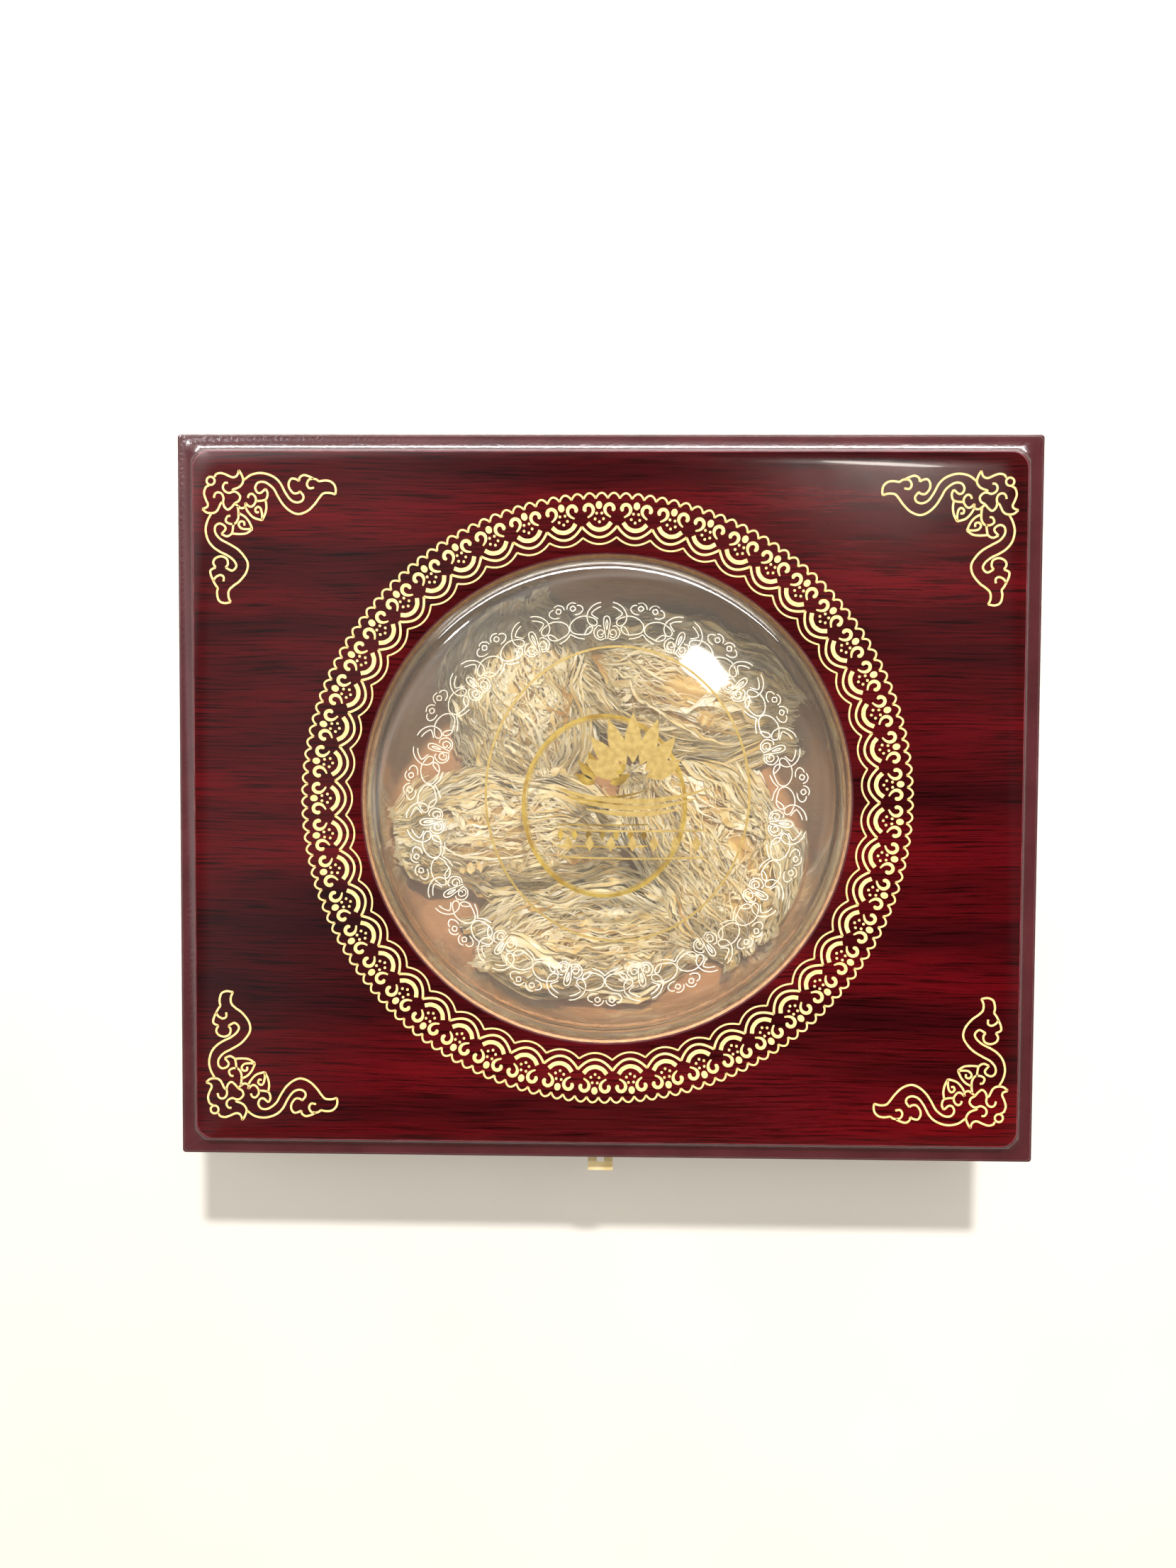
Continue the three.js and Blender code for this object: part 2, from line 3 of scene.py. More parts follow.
import bpy
import numpy as np
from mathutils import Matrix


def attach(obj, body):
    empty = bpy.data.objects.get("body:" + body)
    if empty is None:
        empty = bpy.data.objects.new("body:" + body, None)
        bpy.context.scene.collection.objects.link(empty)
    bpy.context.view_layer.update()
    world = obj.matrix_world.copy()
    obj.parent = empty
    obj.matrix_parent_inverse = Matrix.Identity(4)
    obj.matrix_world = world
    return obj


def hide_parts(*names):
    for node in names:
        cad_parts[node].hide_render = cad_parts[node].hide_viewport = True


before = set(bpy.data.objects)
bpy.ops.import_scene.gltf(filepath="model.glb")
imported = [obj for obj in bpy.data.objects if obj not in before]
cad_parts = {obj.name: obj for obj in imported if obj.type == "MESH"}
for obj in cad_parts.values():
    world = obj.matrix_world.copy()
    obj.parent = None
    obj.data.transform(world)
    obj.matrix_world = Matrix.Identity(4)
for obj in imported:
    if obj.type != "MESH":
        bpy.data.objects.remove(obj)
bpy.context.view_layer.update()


# Camera, held over the box by hand and a little behind its middle.
# The lens has a view about 65 degrees tall, and its place and tilt come from the lid's outline.
camera = bpy.data.objects.new("camera", bpy.data.cameras.new("camera"))
bpy.context.collection.objects.link(camera)
camera.data.lens = 27.99
camera.data.clip_start = 0.01
camera.location = (0.00194, 0.02283, 0.5308)
camera.rotation_euler = (math.radians(-2.138), math.radians(1.114), math.radians(0.295))
bpy.context.scene.camera = camera
bpy.context.scene.view_settings.view_transform = "Standard"


# Table: a sheet of matt white paper, laid flat under the box and much wider than it.
# Its tooth is too fine to see, so only a faint mottling shows.
def linear(hex_code):
    """sRGB hex to linear: a channel c is c/12.92 up to 0.04045, and ((c + 0.055)/1.055)^2.4 above."""
    channels = np.array([int(hex_code[k:k + 2], 16) for k in (1, 3, 5)]) / 255
    bent = ((channels + 0.055) / 1.055) ** 2.4
    return (*np.where(channels <= 0.04045, channels / 12.92, bent).tolist(), 1.0)


def add_node(tree, kind, inputs={}, stops=(), **settings):
    """Adds one node: its settings, a ramp's stops, and its inputs, each a value or another's output."""
    made = tree.nodes.new(kind)
    for key, value in settings.items():
        setattr(made, key, value)
    for number, (place, colour) in enumerate(stops):
        elements = made.color_ramp.elements
        element = elements[number] if number < 2 else elements.new(place)
        element.position = place
        element.color = colour
    for key, value in inputs.items():
        if isinstance(value, bpy.types.NodeSocket):
            tree.links.new(value, made.inputs[key])
        else:
            made.inputs[key].default_value = value
    return made


def new_material(name, settings):
    """A material with a Principled shader on its output, its sockets set from the settings. Returns
    material, tree and shader."""
    material = bpy.data.materials.new(name)
    material.use_nodes = True
    tree = material.node_tree
    tree.nodes.clear()
    shader = add_node(tree, "ShaderNodeBsdfPrincipled", settings)
    add_node(tree, "ShaderNodeOutputMaterial", {"Surface": shader.outputs[0]})
    return material, tree, shader


def mottled(tree, shader, scale, detail, darker, paler, spread=(0.3, 0.7)):
    """Tints the shader by noise of about so many patches a metre, from the darker colour to the paler
    one over the spread. Returns the piece's own coordinates and the noise."""
    place = add_node(tree, "ShaderNodeTexCoord").outputs["Object"]
    settings = {"Vector": place, "Scale": scale, "Detail": detail}
    noise = add_node(tree, "ShaderNodeTexNoise", settings).outputs["Fac"]
    tint = add_node(tree, "ShaderNodeValToRGB", {"Fac": noise},
                    stops=[(spread[0], linear(darker)), (spread[1], linear(paler))])
    tree.links.new(tint.outputs[0], shader.inputs["Base Color"])
    return place, noise


def new_piece(name, points, quads, triangles=(), sharp=None):
    """A mesh object from points in millimetres. Its faces are turned round if its signed volume,
    the sum of a . (b x c) / 6 over its triangles, is negative. Sharp is the crease angle."""
    points = np.asarray(points, float).reshape(-1, 3)
    quads = np.asarray(quads, int).reshape(-1, 4)
    triangles = np.asarray(triangles, int).reshape(-1, 3)
    split = np.concatenate([quads[:, [0, 1, 2]], quads[:, [0, 2, 3]], triangles])
    a, b, c = (points[split[:, k]] for k in range(3))
    if np.einsum("ij,ij->", a, np.cross(b, c)) < 0:
        quads, triangles = quads[:, ::-1], triangles[:, ::-1]
    corners = np.concatenate([quads.ravel(), triangles.ravel()])
    starts = np.concatenate([np.arange(len(quads)) * 4, len(quads) * 4 + np.arange(len(triangles)) * 3])
    mesh = bpy.data.meshes.new(name)
    mesh.vertices.add(len(points))
    mesh.vertices.foreach_set("co", (points / 1000).ravel())
    mesh.loops.add(len(corners))
    mesh.loops.foreach_set("vertex_index", corners)
    mesh.polygons.add(len(starts))
    mesh.polygons.foreach_set("loop_start", starts)
    mesh.polygons.foreach_set("use_smooth", np.ones(len(starts), bool))
    mesh.update(calc_edges=True)
    mesh.validate()
    if sharp:
        mesh.set_sharp_from_angle(angle=math.radians(sharp))
    made = bpy.data.objects.new(name, mesh)
    bpy.context.collection.objects.link(made)
    return made


paper, tree, shader = new_material("matt white paper", {"Roughness": 0.9, "Specular IOR Level": 0.1})
mottled(tree, shader, 9.0, 3.0, "#d2d3d3", "#d8d8d8")
reach, table_thickness = 3000.0, 4.0
corners = [(x, y, z) for z in (-table_thickness, 0)
           for x, y in ((-reach, -reach), (reach, -reach), (reach, reach), (-reach, reach))]
faces = [(3, 2, 1, 0), (4, 5, 6, 7), (0, 1, 5, 4), (1, 2, 6, 5), (2, 3, 7, 6), (3, 0, 4, 7)]
table = new_piece("table", corners, faces, sharp=30)
table.data.materials.append(paper)


# Light: a dim room with bright parts to the left, to the back right and low at the back left, which
# the lacquer and the clear sheets show as haze. A ceiling lamp, a window strip and a spot make the
# highlights, a small panel at the back casts the shadow in front, and two soft panels fill it.
world = bpy.data.worlds.new("pale room")
bpy.context.scene.world = world
world.use_nodes = True
room = world.node_tree
background = room.nodes["Background"]
towards = add_node(room, "ShaderNodeTexCoord").outputs["Generated"]
height = add_node(room, "ShaderNodeSeparateXYZ", {"Vector": towards}).outputs["Z"]
glow = add_node(room, "ShaderNodeValToRGB", {"Fac": height},
                stops=[(0.78, (0.38, 0.30, 0.23, 1)), (0.92, (0.05, 0.04, 0.03, 1))]).outputs[0]
# the bright parts: where each lies, how near to it a direction must point for it to begin and for it
# to be at its brightest, as the cosine of the angle between them, and how bright it is
bright_parts = [((-0.95, 0.30, 0.0), 0.09, 0.24, 0.70), ((0.75, 0.66, 0.0), 0.17, 0.27, 0.28),
                ((-0.62, 0.78, 0.0), 0.38, 0.52, 2.60)]
for side, first, last, shade in bright_parts:
    lean = add_node(room, "ShaderNodeVectorMath", {0: towards, 1: side}, operation="DOT_PRODUCT")
    patch = add_node(room, "ShaderNodeValToRGB", {"Fac": lean.outputs["Value"]},
                     stops=[(first, (0.0, 0.0, 0.0, 1)), (last, (shade, 0.97 * shade, 0.93 * shade, 1)),
                            (last + 0.25, (0.2 * shade, 0.18 * shade, 0.16 * shade, 1))])
    glow = add_node(room, "ShaderNodeMix", {"Factor": 1.0, 6: glow, 7: patch.outputs[0]},
                    data_type="RGBA", blend_type="LIGHTEN").outputs[2]
room.links.new(glow, background.inputs["Color"])
background.inputs["Strength"].default_value = 0.52


def add_lamp(name, place, target, size, power, colour):
    """An oval area lamp at a place in metres, turned so that it faces a target."""
    lamp = bpy.data.objects.new(name, bpy.data.lights.new(name, "AREA"))
    bpy.context.collection.objects.link(lamp)
    lamp.data.shape = "ELLIPSE"
    lamp.data.size, lamp.data.size_y = size
    lamp.data.energy = power
    lamp.data.color = linear(colour)[:3]
    away = np.array(place) - np.array(target)
    lamp.location = place
    flat = math.hypot(away[0], away[1])
    lamp.rotation_euler = (math.atan2(flat, away[2]), 0, math.atan2(away[0], -away[1]))
    return lamp


add_lamp("ceiling lamp", (0.72, 0.91, 2.91), (0.0, 0.0, 0.08), (0.38, 0.16), 4.4, "#fffaf0")
window_strip = add_lamp("window strip", (0.0, 1.60, 0.42), (0.0, 0.0, 0.08), (3.60, 0.22), 80, "#fffdfa")
left_spot = add_lamp("left spot", (-0.86, 0.88, 1.25), (0.0, 0.0, 0.05), (0.16, 0.12), 9, "#ffffff")
for lamp in (window_strip, left_spot):
    lamp.visible_diffuse = lamp.visible_transmission = False
back_panel = add_lamp("back panel", (0.13, 0.81, 1.33), (0.0, 0.0, 0.05), (0.10, 0.07), 29, "#fffbf2")
overhead_panel = add_lamp("overhead panel", (0.0, 0.20, 1.50), (0.0, 0.0, 0.05), (1.20, 1.00), 9, "#fff6e4")
front_panel = add_lamp("front panel", (0.05, -0.60, 1.40), (0.0, 0.0, 0.05), (0.50, 0.50), 7, "#fff4e0")
for panel in (back_panel, overhead_panel, front_panel):
    panel.visible_glossy = panel.visible_transmission = False


# Bottom board: medium-density board 10 mm thick, its routed edge turned upside down to the lid's and
# sprayed with purple-brown satin lacquer, which gives the eye a soft broad highlight with a faint
# orange peel. The edge runs from a flat face over a small step, a cove and a rounded outer edge.
satin_paint, tree, shader = new_material("sprayed satin lacquer on moulded board", {
    "Roughness": 0.28, "IOR": 1.5, "Coat Weight": 0.6, "Coat Roughness": 0.1})
place = mottled(tree, shader, 60.0, 4.0, "#3f161d", "#4d2027")[0]
peel = add_node(tree, "ShaderNodeTexNoise", {"Vector": place, "Scale": 700.0, "Detail": 2.0})
bump = add_node(tree, "ShaderNodeBump", {"Height": peel.outputs["Fac"], "Strength": 0.35, "Distance": 0.0005})
tree.links.new(bump.outputs[0], shader.inputs["Normal"])

box_width, box_depth = 320.0, 270.0
edge_band, step_height, step_corner, outer_corner = 7.7, 0.8, 6.0, 1.2
cove_ledge, cove_end, cove_lip, cove_depth = 0.4, 1.0, 0.3, 4.6
nose_drop, nose_radius, foot_radius = 5.3, 0.7, 0.8


def grid_faces(rows, columns, closed=False):
    """Quads between neighbouring rows of a grid whose columns go right round. Point (i, j) is number
    i * columns + j. Closed joins the last row to the first."""
    i = np.arange(rows if closed else rows - 1)[:, None]
    j = np.arange(columns)[None, :]
    beside = (j + 1) % columns
    above = ((i + 1) % rows) * columns
    return np.stack([i * columns + j, i * columns + beside, above + beside, above + j], -1).reshape(-1, 4)


def capped(grid):
    """Points, quads and triangles of a grid of rows, closed at each end by a fan round the row's mean."""
    rows, columns = grid.shape[:2]
    points = np.concatenate([grid.reshape(-1, 3), grid[0].mean(0)[None], grid[-1].mean(0)[None]])
    j = np.arange(columns)
    beside = (j + 1) % columns
    first = np.stack([np.full(columns, rows * columns), beside, j], -1)
    last = np.stack([np.full(columns, rows * columns + 1), (rows - 1) * columns + j,
                     (rows - 1) * columns + beside], -1)
    return points, grid_faces(rows, columns), np.concatenate([first, last])


def rounded_outline(inset, corner, height, corner_points=10, side_points=24):
    """One loop round the box, inset from its outline: four straight sides, joined by quarter circles
    of the corner radius."""
    half = np.array([box_width / 2 - inset, box_depth / 2 - inset])
    turn = np.linspace(0, math.pi / 2, corner_points)
    run = np.linspace(0, 1, side_points + 1)[1:-1, None]
    loop = []
    for quarter, sign in enumerate(((1, 1), (-1, 1), (-1, -1), (1, -1))):
        angle = turn + quarter * math.pi / 2
        arc = (half - corner) * sign + corner * np.stack([np.cos(angle), np.sin(angle)], -1)
        after = (half - corner) * ((-1, 1), (-1, -1), (1, -1), (1, 1))[quarter]
        angle = (quarter + 1) * math.pi / 2
        after = after + corner * np.array([math.cos(angle), math.sin(angle)])
        loop += [arc, arc[-1] + (after - arc[-1]) * run]
    loop = np.concatenate(loop)
    return np.column_stack([loop, np.full(len(loop), height)])


def moulding_profile(thickness):
    """Rows of (inset, drop below the face, corner radius), from the raised face over the step and the
    cove, a quarter ellipse, to the outer edge and the flat back."""
    angle = np.linspace(0, math.pi / 2, 14)
    cove_inset = edge_band - cove_ledge - (edge_band - cove_ledge - cove_end) * (1 - np.cos(angle))
    cove_drop = step_height + cove_lip + cove_depth * np.sin(angle)
    blend = np.linspace(0, 1, 14)
    corner = step_corner + (outer_corner - step_corner) * blend
    turn = np.linspace(0, math.pi / 2, 5)
    edge_inset = nose_radius * (1 - np.sin(turn))
    edge_drop = step_height + nose_drop + nose_radius * (1 - np.cos(turn))
    foot_inset = foot_radius * (1 - np.cos(turn))
    foot_drop = thickness - foot_radius * (1 - np.sin(turn))
    rows = [(edge_band + 0.25, 0.0, step_corner), (edge_band, 0.08, step_corner),
            (edge_band - 0.1, 0.3, step_corner), (edge_band - 0.3, step_height, step_corner)]
    rows += list(zip(cove_inset, cove_drop, corner))
    rows += [(i, d, outer_corner) for i, d in zip(edge_inset, edge_drop)]
    rows += [(i, d, outer_corner) for i, d in zip(foot_inset, foot_drop)]
    return rows


bottom_thickness = 10.0
rows = moulding_profile(bottom_thickness)
grid = np.stack([rounded_outline(inset, corner, drop) for inset, drop, corner in rows])
points, quads, triangles = capped(grid)
bottom_board = new_piece("moulded_bottom_board", points, quads, triangles, sharp=30)
bottom_board.data.materials.append(satin_paint)
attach(bottom_board, "base")
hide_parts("bottom_board")


# Base walls and lid rims: boards 9 mm thick, mitred at the corners and wrapped in a film printed with
# rosewood grain, broad dark waves and short fine pores, under gloss lacquer that mirrors the room
# softly. They stand 3.5 mm in from the boards' outline, and the lid closes along a fine seam.
wood_film, tree, shader = new_material("lacquered rosewood-grain film", {
    "Roughness": 0.17, "IOR": 1.5, "Coat Weight": 0.4, "Coat Roughness": 0.03})


def drawn_out(tree, along, features, detail, roughness=0.5):
    """Noise with its own number of features a metre along each axis, so that it runs in streaks."""
    scaled = add_node(tree, "ShaderNodeMapping", {"Vector": along, "Scale": features}).outputs[0]
    settings = {"Vector": scaled, "Scale": 1.0, "Detail": detail, "Roughness": roughness}
    return add_node(tree, "ShaderNodeTexNoise", settings).outputs


grain = add_node(tree, "ShaderNodeAttribute", attribute_name="grain").outputs["Vector"]
sway = drawn_out(tree, grain, (11.0, 26.0, 26.0), 2.0)["Color"]
aside = add_node(tree, "ShaderNodeVectorMath", {0: sway, 1: (0.0, 0.006, 0.0)}, operation="MULTIPLY")
swayed = add_node(tree, "ShaderNodeVectorMath", {0: grain, 1: aside.outputs[0]}, operation="ADD").outputs[0]
wave = drawn_out(tree, swayed, (3.0, 34.0, 20.0), 3.0)["Fac"]
bands = add_node(tree, "ShaderNodeValToRGB", {"Fac": wave},
                 stops=[(0.34, linear("#270106")), (0.70, linear("#60030c")), (0.45, linear("#3b0208")),
                        (0.56, linear("#4d020a"))])
streaks = drawn_out(tree, swayed, (36.0, 1300.0, 20.0), 3.0, roughness=0.65)["Fac"]
pores = add_node(tree, "ShaderNodeValToRGB", {"Fac": streaks},
                 stops=[(0.34, linear("#5c4044")), (0.49, linear("#e8e0e0")), (0.62, linear("#ffffff"))])
grained = add_node(tree, "ShaderNodeMix", {"Factor": 1.0, 6: bands.outputs[0], 7: pores.outputs[0]},
                   data_type="RGBA", blend_type="MULTIPLY")
tree.links.new(grained.outputs[2], shader.inputs["Base Color"])
ripple = add_node(tree, "ShaderNodeTexNoise", {"Vector": grain, "Scale": 45.0, "Detail": 1.0}).outputs["Fac"]
bump = add_node(tree, "ShaderNodeBump", {"Height": ripple, "Strength": 0.04, "Distance": 0.002})
tree.links.new(bump.outputs[0], shader.inputs["Normal"])

wall_thickness, wall_inset, wall_ease = 9.0, 3.5, 0.35
base_wall_bottom, base_wall_top = 10.0, 54.3
lid_rim_bottom, lid_rim_top = 54.7, 71.0
# each board's film is cut from further on in the sheet than the last one's
sheet_shift = np.array([170.0, 90.0, 0.0])


def lay_grain(piece, along_across):
    """Stores where each point lies on the film's sheet, in metres: along the grain, across it."""
    layer = piece.data.attributes.new("grain", "FLOAT_VECTOR", "POINT")
    layer.data.foreach_set("vector", (np.asarray(along_across) / 1000).ravel())


def wall_board(name, side, low, high, body, node):
    """A section of eased rectangle carried along the board. Its length is shorter by the distance in
    from the outer face, at both ends, so the ends are mitres. Side 0 is the front, then right."""
    ease = wall_ease * np.array([1.0, 0.3, 0.0])
    rise = np.linspace(low, high, 8)[1:-1]
    section = np.concatenate([
        np.stack([ease, low + ease[::-1]], -1), np.stack([rise * 0, rise], -1),
        np.stack([ease[::-1], high - ease], -1),
        np.stack([wall_thickness - ease, high - ease[::-1]], -1),
        np.stack([wall_thickness - ease[::-1], low + ease], -1)])
    length = (box_width if side % 2 == 0 else box_depth) / 2 - wall_inset
    reach = (box_depth if side % 2 == 0 else box_width) / 2 - wall_inset
    along = np.linspace(-1, 1, 25)[:, None] * (length - section[None, :, 0])
    turn = side * math.pi / 2
    across = section[None, :, 0] - reach + 0 * along
    grid = np.stack([along * math.cos(turn) - across * math.sin(turn),
                     along * math.sin(turn) + across * math.cos(turn), section[None, :, 1] + 0 * along], -1)
    points, quads, triangles = capped(grid)
    board = new_piece(name, points, quads, triangles, sharp=40)
    ends = np.array([[along[0].mean(), 0, 0], [along[-1].mean(), 0, 0]])
    flat = np.stack([along, section[None, :, 1] + 0 * along, across], -1).reshape(-1, 3)
    lay_grain(board, np.concatenate([flat, ends]) + sheet_shift * side)
    board.data.materials.append(wood_film)
    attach(board, body)
    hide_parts(node)


for number, side in enumerate(("front", "right", "back", "left")):
    wall_board(f"base_board_{side}", number, base_wall_bottom, base_wall_top, "base", f"base_wall_{side}")
    wall_board(f"lid_board_{side}", number, lid_rim_bottom, lid_rim_top, "lid", f"lid_rim_{side}")


# Lid panel: 12 mm board with the moulded edge, the film on its raised face and a round hole for the
# window. A thin line of pale edge shows where the film stops, and the hole is left raw.
panel_bottom, panel_thickness, window_radius = 71.0, 12.0, 90.0
hole_chamfer, hole_ease = 0.6, 0.15
lid_top = panel_bottom + panel_thickness
profile = moulding_profile(panel_thickness)
outline = [rounded_outline(inset, corner, lid_top - drop) for inset, drop, corner in profile]
direction = outline[0][:, :2] / np.linalg.norm(outline[0][:, :2], axis=1)[:, None]


def hole_loop(radius, height):
    """Points on a circle, each in the direction of its partner on the outline."""
    return np.column_stack([direction * radius, np.full(len(direction), height)])


# from the back face into the hole, up its wall, over the small chamfer and out over the face
hole = [hole_loop(window_radius, panel_bottom), hole_loop(window_radius, lid_top - hole_chamfer),
        hole_loop(window_radius + hole_ease, lid_top - hole_ease),
        hole_loop(window_radius + hole_chamfer, lid_top)]
spread = [hole[-1] + (outline[0] - hole[-1]) * share for share in np.linspace(0, 1, 12)[1:-1]]
grid = np.stack(hole + spread + outline)
rows, columns = grid.shape[:2]
lid_panel = new_piece("film_faced_lid_panel", grid, grid_faces(rows, columns, closed=True), sharp=30)
lay_grain(lid_panel, grid.reshape(-1, 3) * (1, 1, 0))
pale_edge, tree, shader = new_material("film edge worn pale", {"Roughness": 0.4})
mottled(tree, shader, 120.0, 3.0, "#5c1c27", "#803a46", (0.35, 0.65))
raw_board, tree, shader = new_material("raw fibreboard edge", {"Roughness": 0.8})
mottled(tree, shader, 500.0, 4.0, "#a27c58", "#c49c74", (0.35, 0.65))
for finish in (wood_film, satin_paint, pale_edge, raw_board):
    lid_panel.data.materials.append(finish)
film, paint, worn, raw = range(4)
face_row = len(hole) + len(spread)
finish_of_row = np.full(rows, paint)
finish_of_row[0] = raw
finish_of_row[len(hole) - 1:face_row] = film
finish_of_row[face_row:face_row + 3] = worn
lid_panel.data.polygons.foreach_set("material_index", np.repeat(finish_of_row, columns))
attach(lid_panel, "lid")
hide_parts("lid_panel")


# Gold print on the lid: a lace border round the window and a scroll in each corner, screen-printed
# in gold ink. Forty-nine fans make the border, under an edging of small scallops.
gold_ink, tree, shader = new_material("screen-printed gold ink", {"Metallic": 0.1, "Roughness": 0.45})
mottled(tree, shader, 900.0, 3.0, "#ecc67c", "#fbe0a4")


def through(points, steps=8):
    """A smooth line through points: between two of them it is the cubic that leaves each along the
    chord of its neighbours."""
    p = np.asarray(points, float)
    p = np.concatenate([2 * p[:1] - p[1:2], p, 2 * p[-1:] - p[-2:-1]])
    s = (np.arange(steps) / steps)[None, :, None]
    a, b, c, d = (p[k:len(p) - 3 + k, None, :] for k in range(4))
    twice = 2 * b + (c - a) * s + (2 * a - 5 * b + 4 * c - d) * s**2 + (3 * b - a - 3 * c + d) * s**3
    return np.concatenate([0.5 * twice.reshape(-1, p.shape[1]), p[-2:-1]])


def ribbons(lines, widths, height_of, thickness=0.05, sunk=0.03):
    """Flat ribbons along lines drawn in the plane. Lines is (count, points, 2), and a point's two
    edges stand half the width to either side along the normal. Height_of gives the surface below,
    and the underside is sunk a little into it."""
    lines = np.asarray(lines, float)
    along = np.gradient(lines, axis=1)
    along /= np.linalg.norm(along, axis=2, keepdims=True) + 1e-9
    normal = np.stack([-along[..., 1], along[..., 0]], -1)
    half = np.broadcast_to(np.asarray(widths, float), lines.shape[:2])[..., None] / 2
    edges = np.stack([lines + normal * half, lines - normal * half], 2)
    low = height_of(edges[..., 0], edges[..., 1])
    bottom = np.concatenate([edges, (low - sunk)[..., None]], -1)
    top = np.concatenate([edges, (low + thickness)[..., None]], -1)
    return np.concatenate([bottom, top[:, :, ::-1]], 2)


def bundle_faces(count, rows):
    """Quads of many bars of four corners a row, each bar closed by a quad at both ends."""
    sides = grid_faces(rows, 4)
    ends = np.array([[3, 2, 1, 0], [4 * rows - 4, 4 * rows - 3, 4 * rows - 2, 4 * rows - 1]])
    one = np.concatenate([sides, ends])
    return (one[None] + (np.arange(count) * 4 * rows)[:, None, None]).reshape(-1, 4)


def joined(bars):
    """Points and quads of several sets of bars, numbered on from each other."""
    points, quads, used = [], [], 0
    for bar in bars:
        count, rows = bar.shape[:2]
        points.append(bar.reshape(-1, 3))
        quads.append(bundle_faces(count, rows) + used)
        used += count * rows * 4
    return np.concatenate(points), np.concatenate(quads)


def oval(across, up, half_across, half_up):
    """A dot as a line up its middle, with the width of an ellipse. Returns line and widths."""
    s = np.sin(np.linspace(-math.pi / 2, math.pi / 2, 9))
    line = np.stack([across + 0 * s, up + half_up * s], -1)
    return line, 2 * half_across * np.sqrt(np.maximum(1 - s**2, 0.0)) + 0.02


def flat_lid(x, y):
    """The lid's face is level."""
    return np.full_like(x, lid_top)


fan_count, scallop_count, first_fan = 49, 157, math.radians(-1.7)
fan_pitch = 2 * math.pi / fan_count
scallop_foot, scallop_rise, scallop_line = 110.3, 2.0, 0.68
# one fan, drawn at the back of the border: across from its middle, and out from the window's centre
curl = through([(4.95, 105.6), (5.35, 106.7), (4.75, 107.8), (3.5, 108.1), (2.35, 107.2), (2.15, 105.7),
                (2.9, 104.4), (4.2, 103.45)], 4)
curl_width = np.interp(np.linspace(0, 1, len(curl)), [0, 0.08, 0.3, 0.65, 1], [0.7, 1.35, 1.25, 1.2, 0.55])
crescent = through([(-4.3, 101.5), (-2.6, 99.75), (0, 98.95), (2.6, 99.75), (4.3, 101.5)], 5)
lobe = np.linspace(-1, 1, 15)


def garland(cusp, bottom):
    """A hanging lobe: its radius goes from the cusp to the bottom as a parabola of the angle."""
    angle, radius = lobe * fan_pitch / 2, cusp + (bottom - cusp) * (1 - np.abs(lobe) ** 2.1)
    return np.stack([radius * np.sin(angle), radius * np.cos(angle)], -1)


fan = [(curl, curl_width), (curl * (-1, 1), curl_width), (crescent, 1.5),
       (garland(100.3, 96.2), 0.84), (garland(96.3, 93.75), 0.6), oval(0, 107.9, 1.15, 1.4)]
dots = [(-0.95, 104.95), (0.95, 104.95), (-1.53, 102.9), (1.53, 102.9), (0, 101.8)]
fan += [oval(across, out, 0.47, 0.5) for across, out in dots]
turns = first_fan + fan_pitch * np.arange(fan_count)
cos, sin = np.cos(turns)[:, None], np.sin(turns)[:, None]
bars = []
for line, width in fan:
    x, y = line[None, :, 0], line[None, :, 1]
    bars.append(ribbons(np.stack([x * cos + y * sin, y * cos - x * sin], -1), width, flat_lid))
share = np.linspace(0, 1, 9)
angle = (np.arange(scallop_count)[:, None] + share) * 2 * math.pi / scallop_count
radius = scallop_foot + scallop_rise * np.sin(math.pi * share)[None] ** 0.8
bars.append(ribbons(np.stack([radius * np.sin(angle), radius * np.cos(angle)], -1), scallop_line, flat_lid))
lace_border = new_piece("gold_lace_border", *joined(bars), sharp=40)

